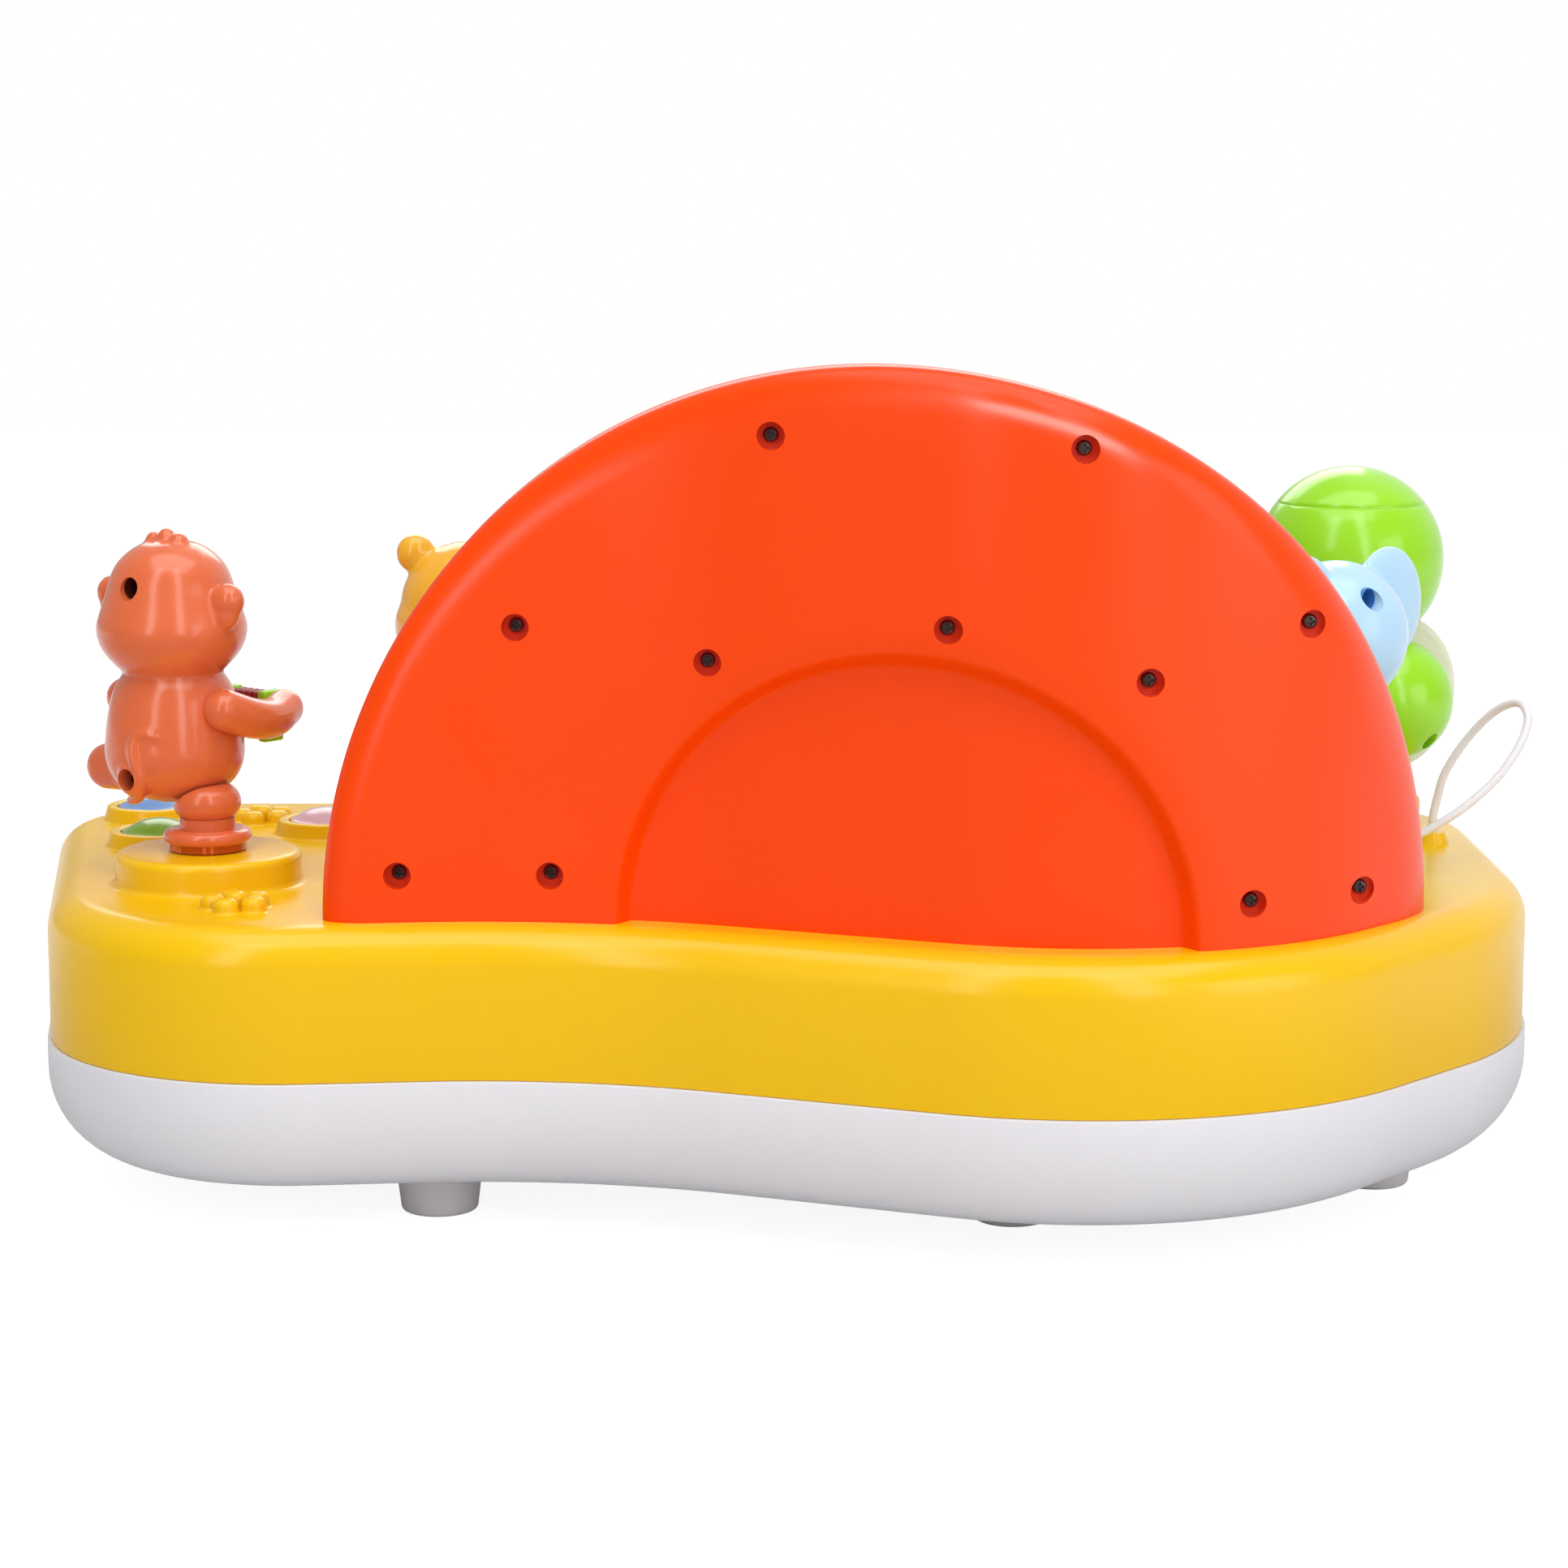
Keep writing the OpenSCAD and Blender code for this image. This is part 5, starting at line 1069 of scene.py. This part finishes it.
# reflections find the floor white behind the toy and at its right, and dim before it
place = tree.nodes.new("ShaderNodeNewGeometry")
x, y = axesOf(tree, place.outputs["Position"])
behind, right = ramp(tree, y, studio["floorBehind"]), ramp(tree, x, studio["floorRight"])
tree.links.new(number(tree, "MAXIMUM", behind, right), sheen.inputs["Strength"])
seen = chosen(tree, rays.outputs["Is Glossy Ray"], bounce.outputs[0], sheen.outputs[0])
seen = chosen(tree, rays.outputs["Is Camera Ray"], seen, both.outputs[0])
tree.links.new(seen, tree.nodes.new("ShaderNodeOutputMaterial").inputs["Surface"])
floor.data.materials.append(paper)

world = scene.world or bpy.data.worlds.new("studio")
scene.world = world
world.use_nodes = True
tree = world.node_tree
tree.nodes.clear()
# white to the camera; reflections find it white behind the toy and dim on the camera side
rays = tree.nodes.new("ShaderNodeLightPath")
heading = tree.nodes.new("ShaderNodeTexCoord")
x, y = axesOf(tree, heading.outputs["Generated"])
dim, mirror, white = [tree.nodes.new("ShaderNodeBackground") for k in range(3)]
for shade in (dim, mirror, white):
    shade.inputs["Color"].default_value = (1, 1, 1, 1)
dim.inputs["Strength"].default_value = studio["ambient"]
white.inputs["Strength"].default_value = 1
behind, right = ramp(tree, y, studio["wallBehind"]), ramp(tree, x, studio["wallRight"])
tree.links.new(number(tree, "MULTIPLY", behind, right), mirror.inputs["Strength"])
seen = chosen(tree, rays.outputs["Is Glossy Ray"], dim.outputs[0], mirror.outputs[0])
seen = chosen(tree, rays.outputs["Is Camera Ray"], seen, white.outputs[0])
tree.links.new(seen, tree.nodes.new("ShaderNodeOutputWorld").inputs["Surface"])

# each soft box is name, place, width, height, watts
boxes = [("stripLeft", (0.69, 1.2, 0.95), 0.28, 1.9, 5.8),
         ("stripRight", (-0.41, 1.25, 0.95), 0.28, 1.9, 6.2),
         ("overhead", (0, 0.3, 1.6), 1.6, 1.2, 14.2),
         ("fillRight", (-1.15, 0.9, 0.45), 0.8, 0.8, 4.2),
         ("frontFill", (0.1, -1.4, 1.0), 1.2, 0.8, 8),
         ("rimStrip", (0, 1.25, 0.74), 1.3, 0.34, 24)]
for name, place, width, height, power in boxes:
    bpy.ops.object.light_add(type="AREA", location=place)
    light = bpy.context.object
    light.name = name
    light.data.shape = "RECTANGLE"
    light.data.size = width
    light.data.size_y = height
    light.data.energy = power
    light.rotation_euler = (Vector(studio["aim"]) - Vector(place)).to_track_quat("-Z", "Y").to_euler()
# the last strip lights only the backboard, and only in reflections
flag = bpy.data.collections.new("backboardOnly")
flag.objects.link(rearShell)
light.light_linking.receiver_collection = flag
light.visible_diffuse = False
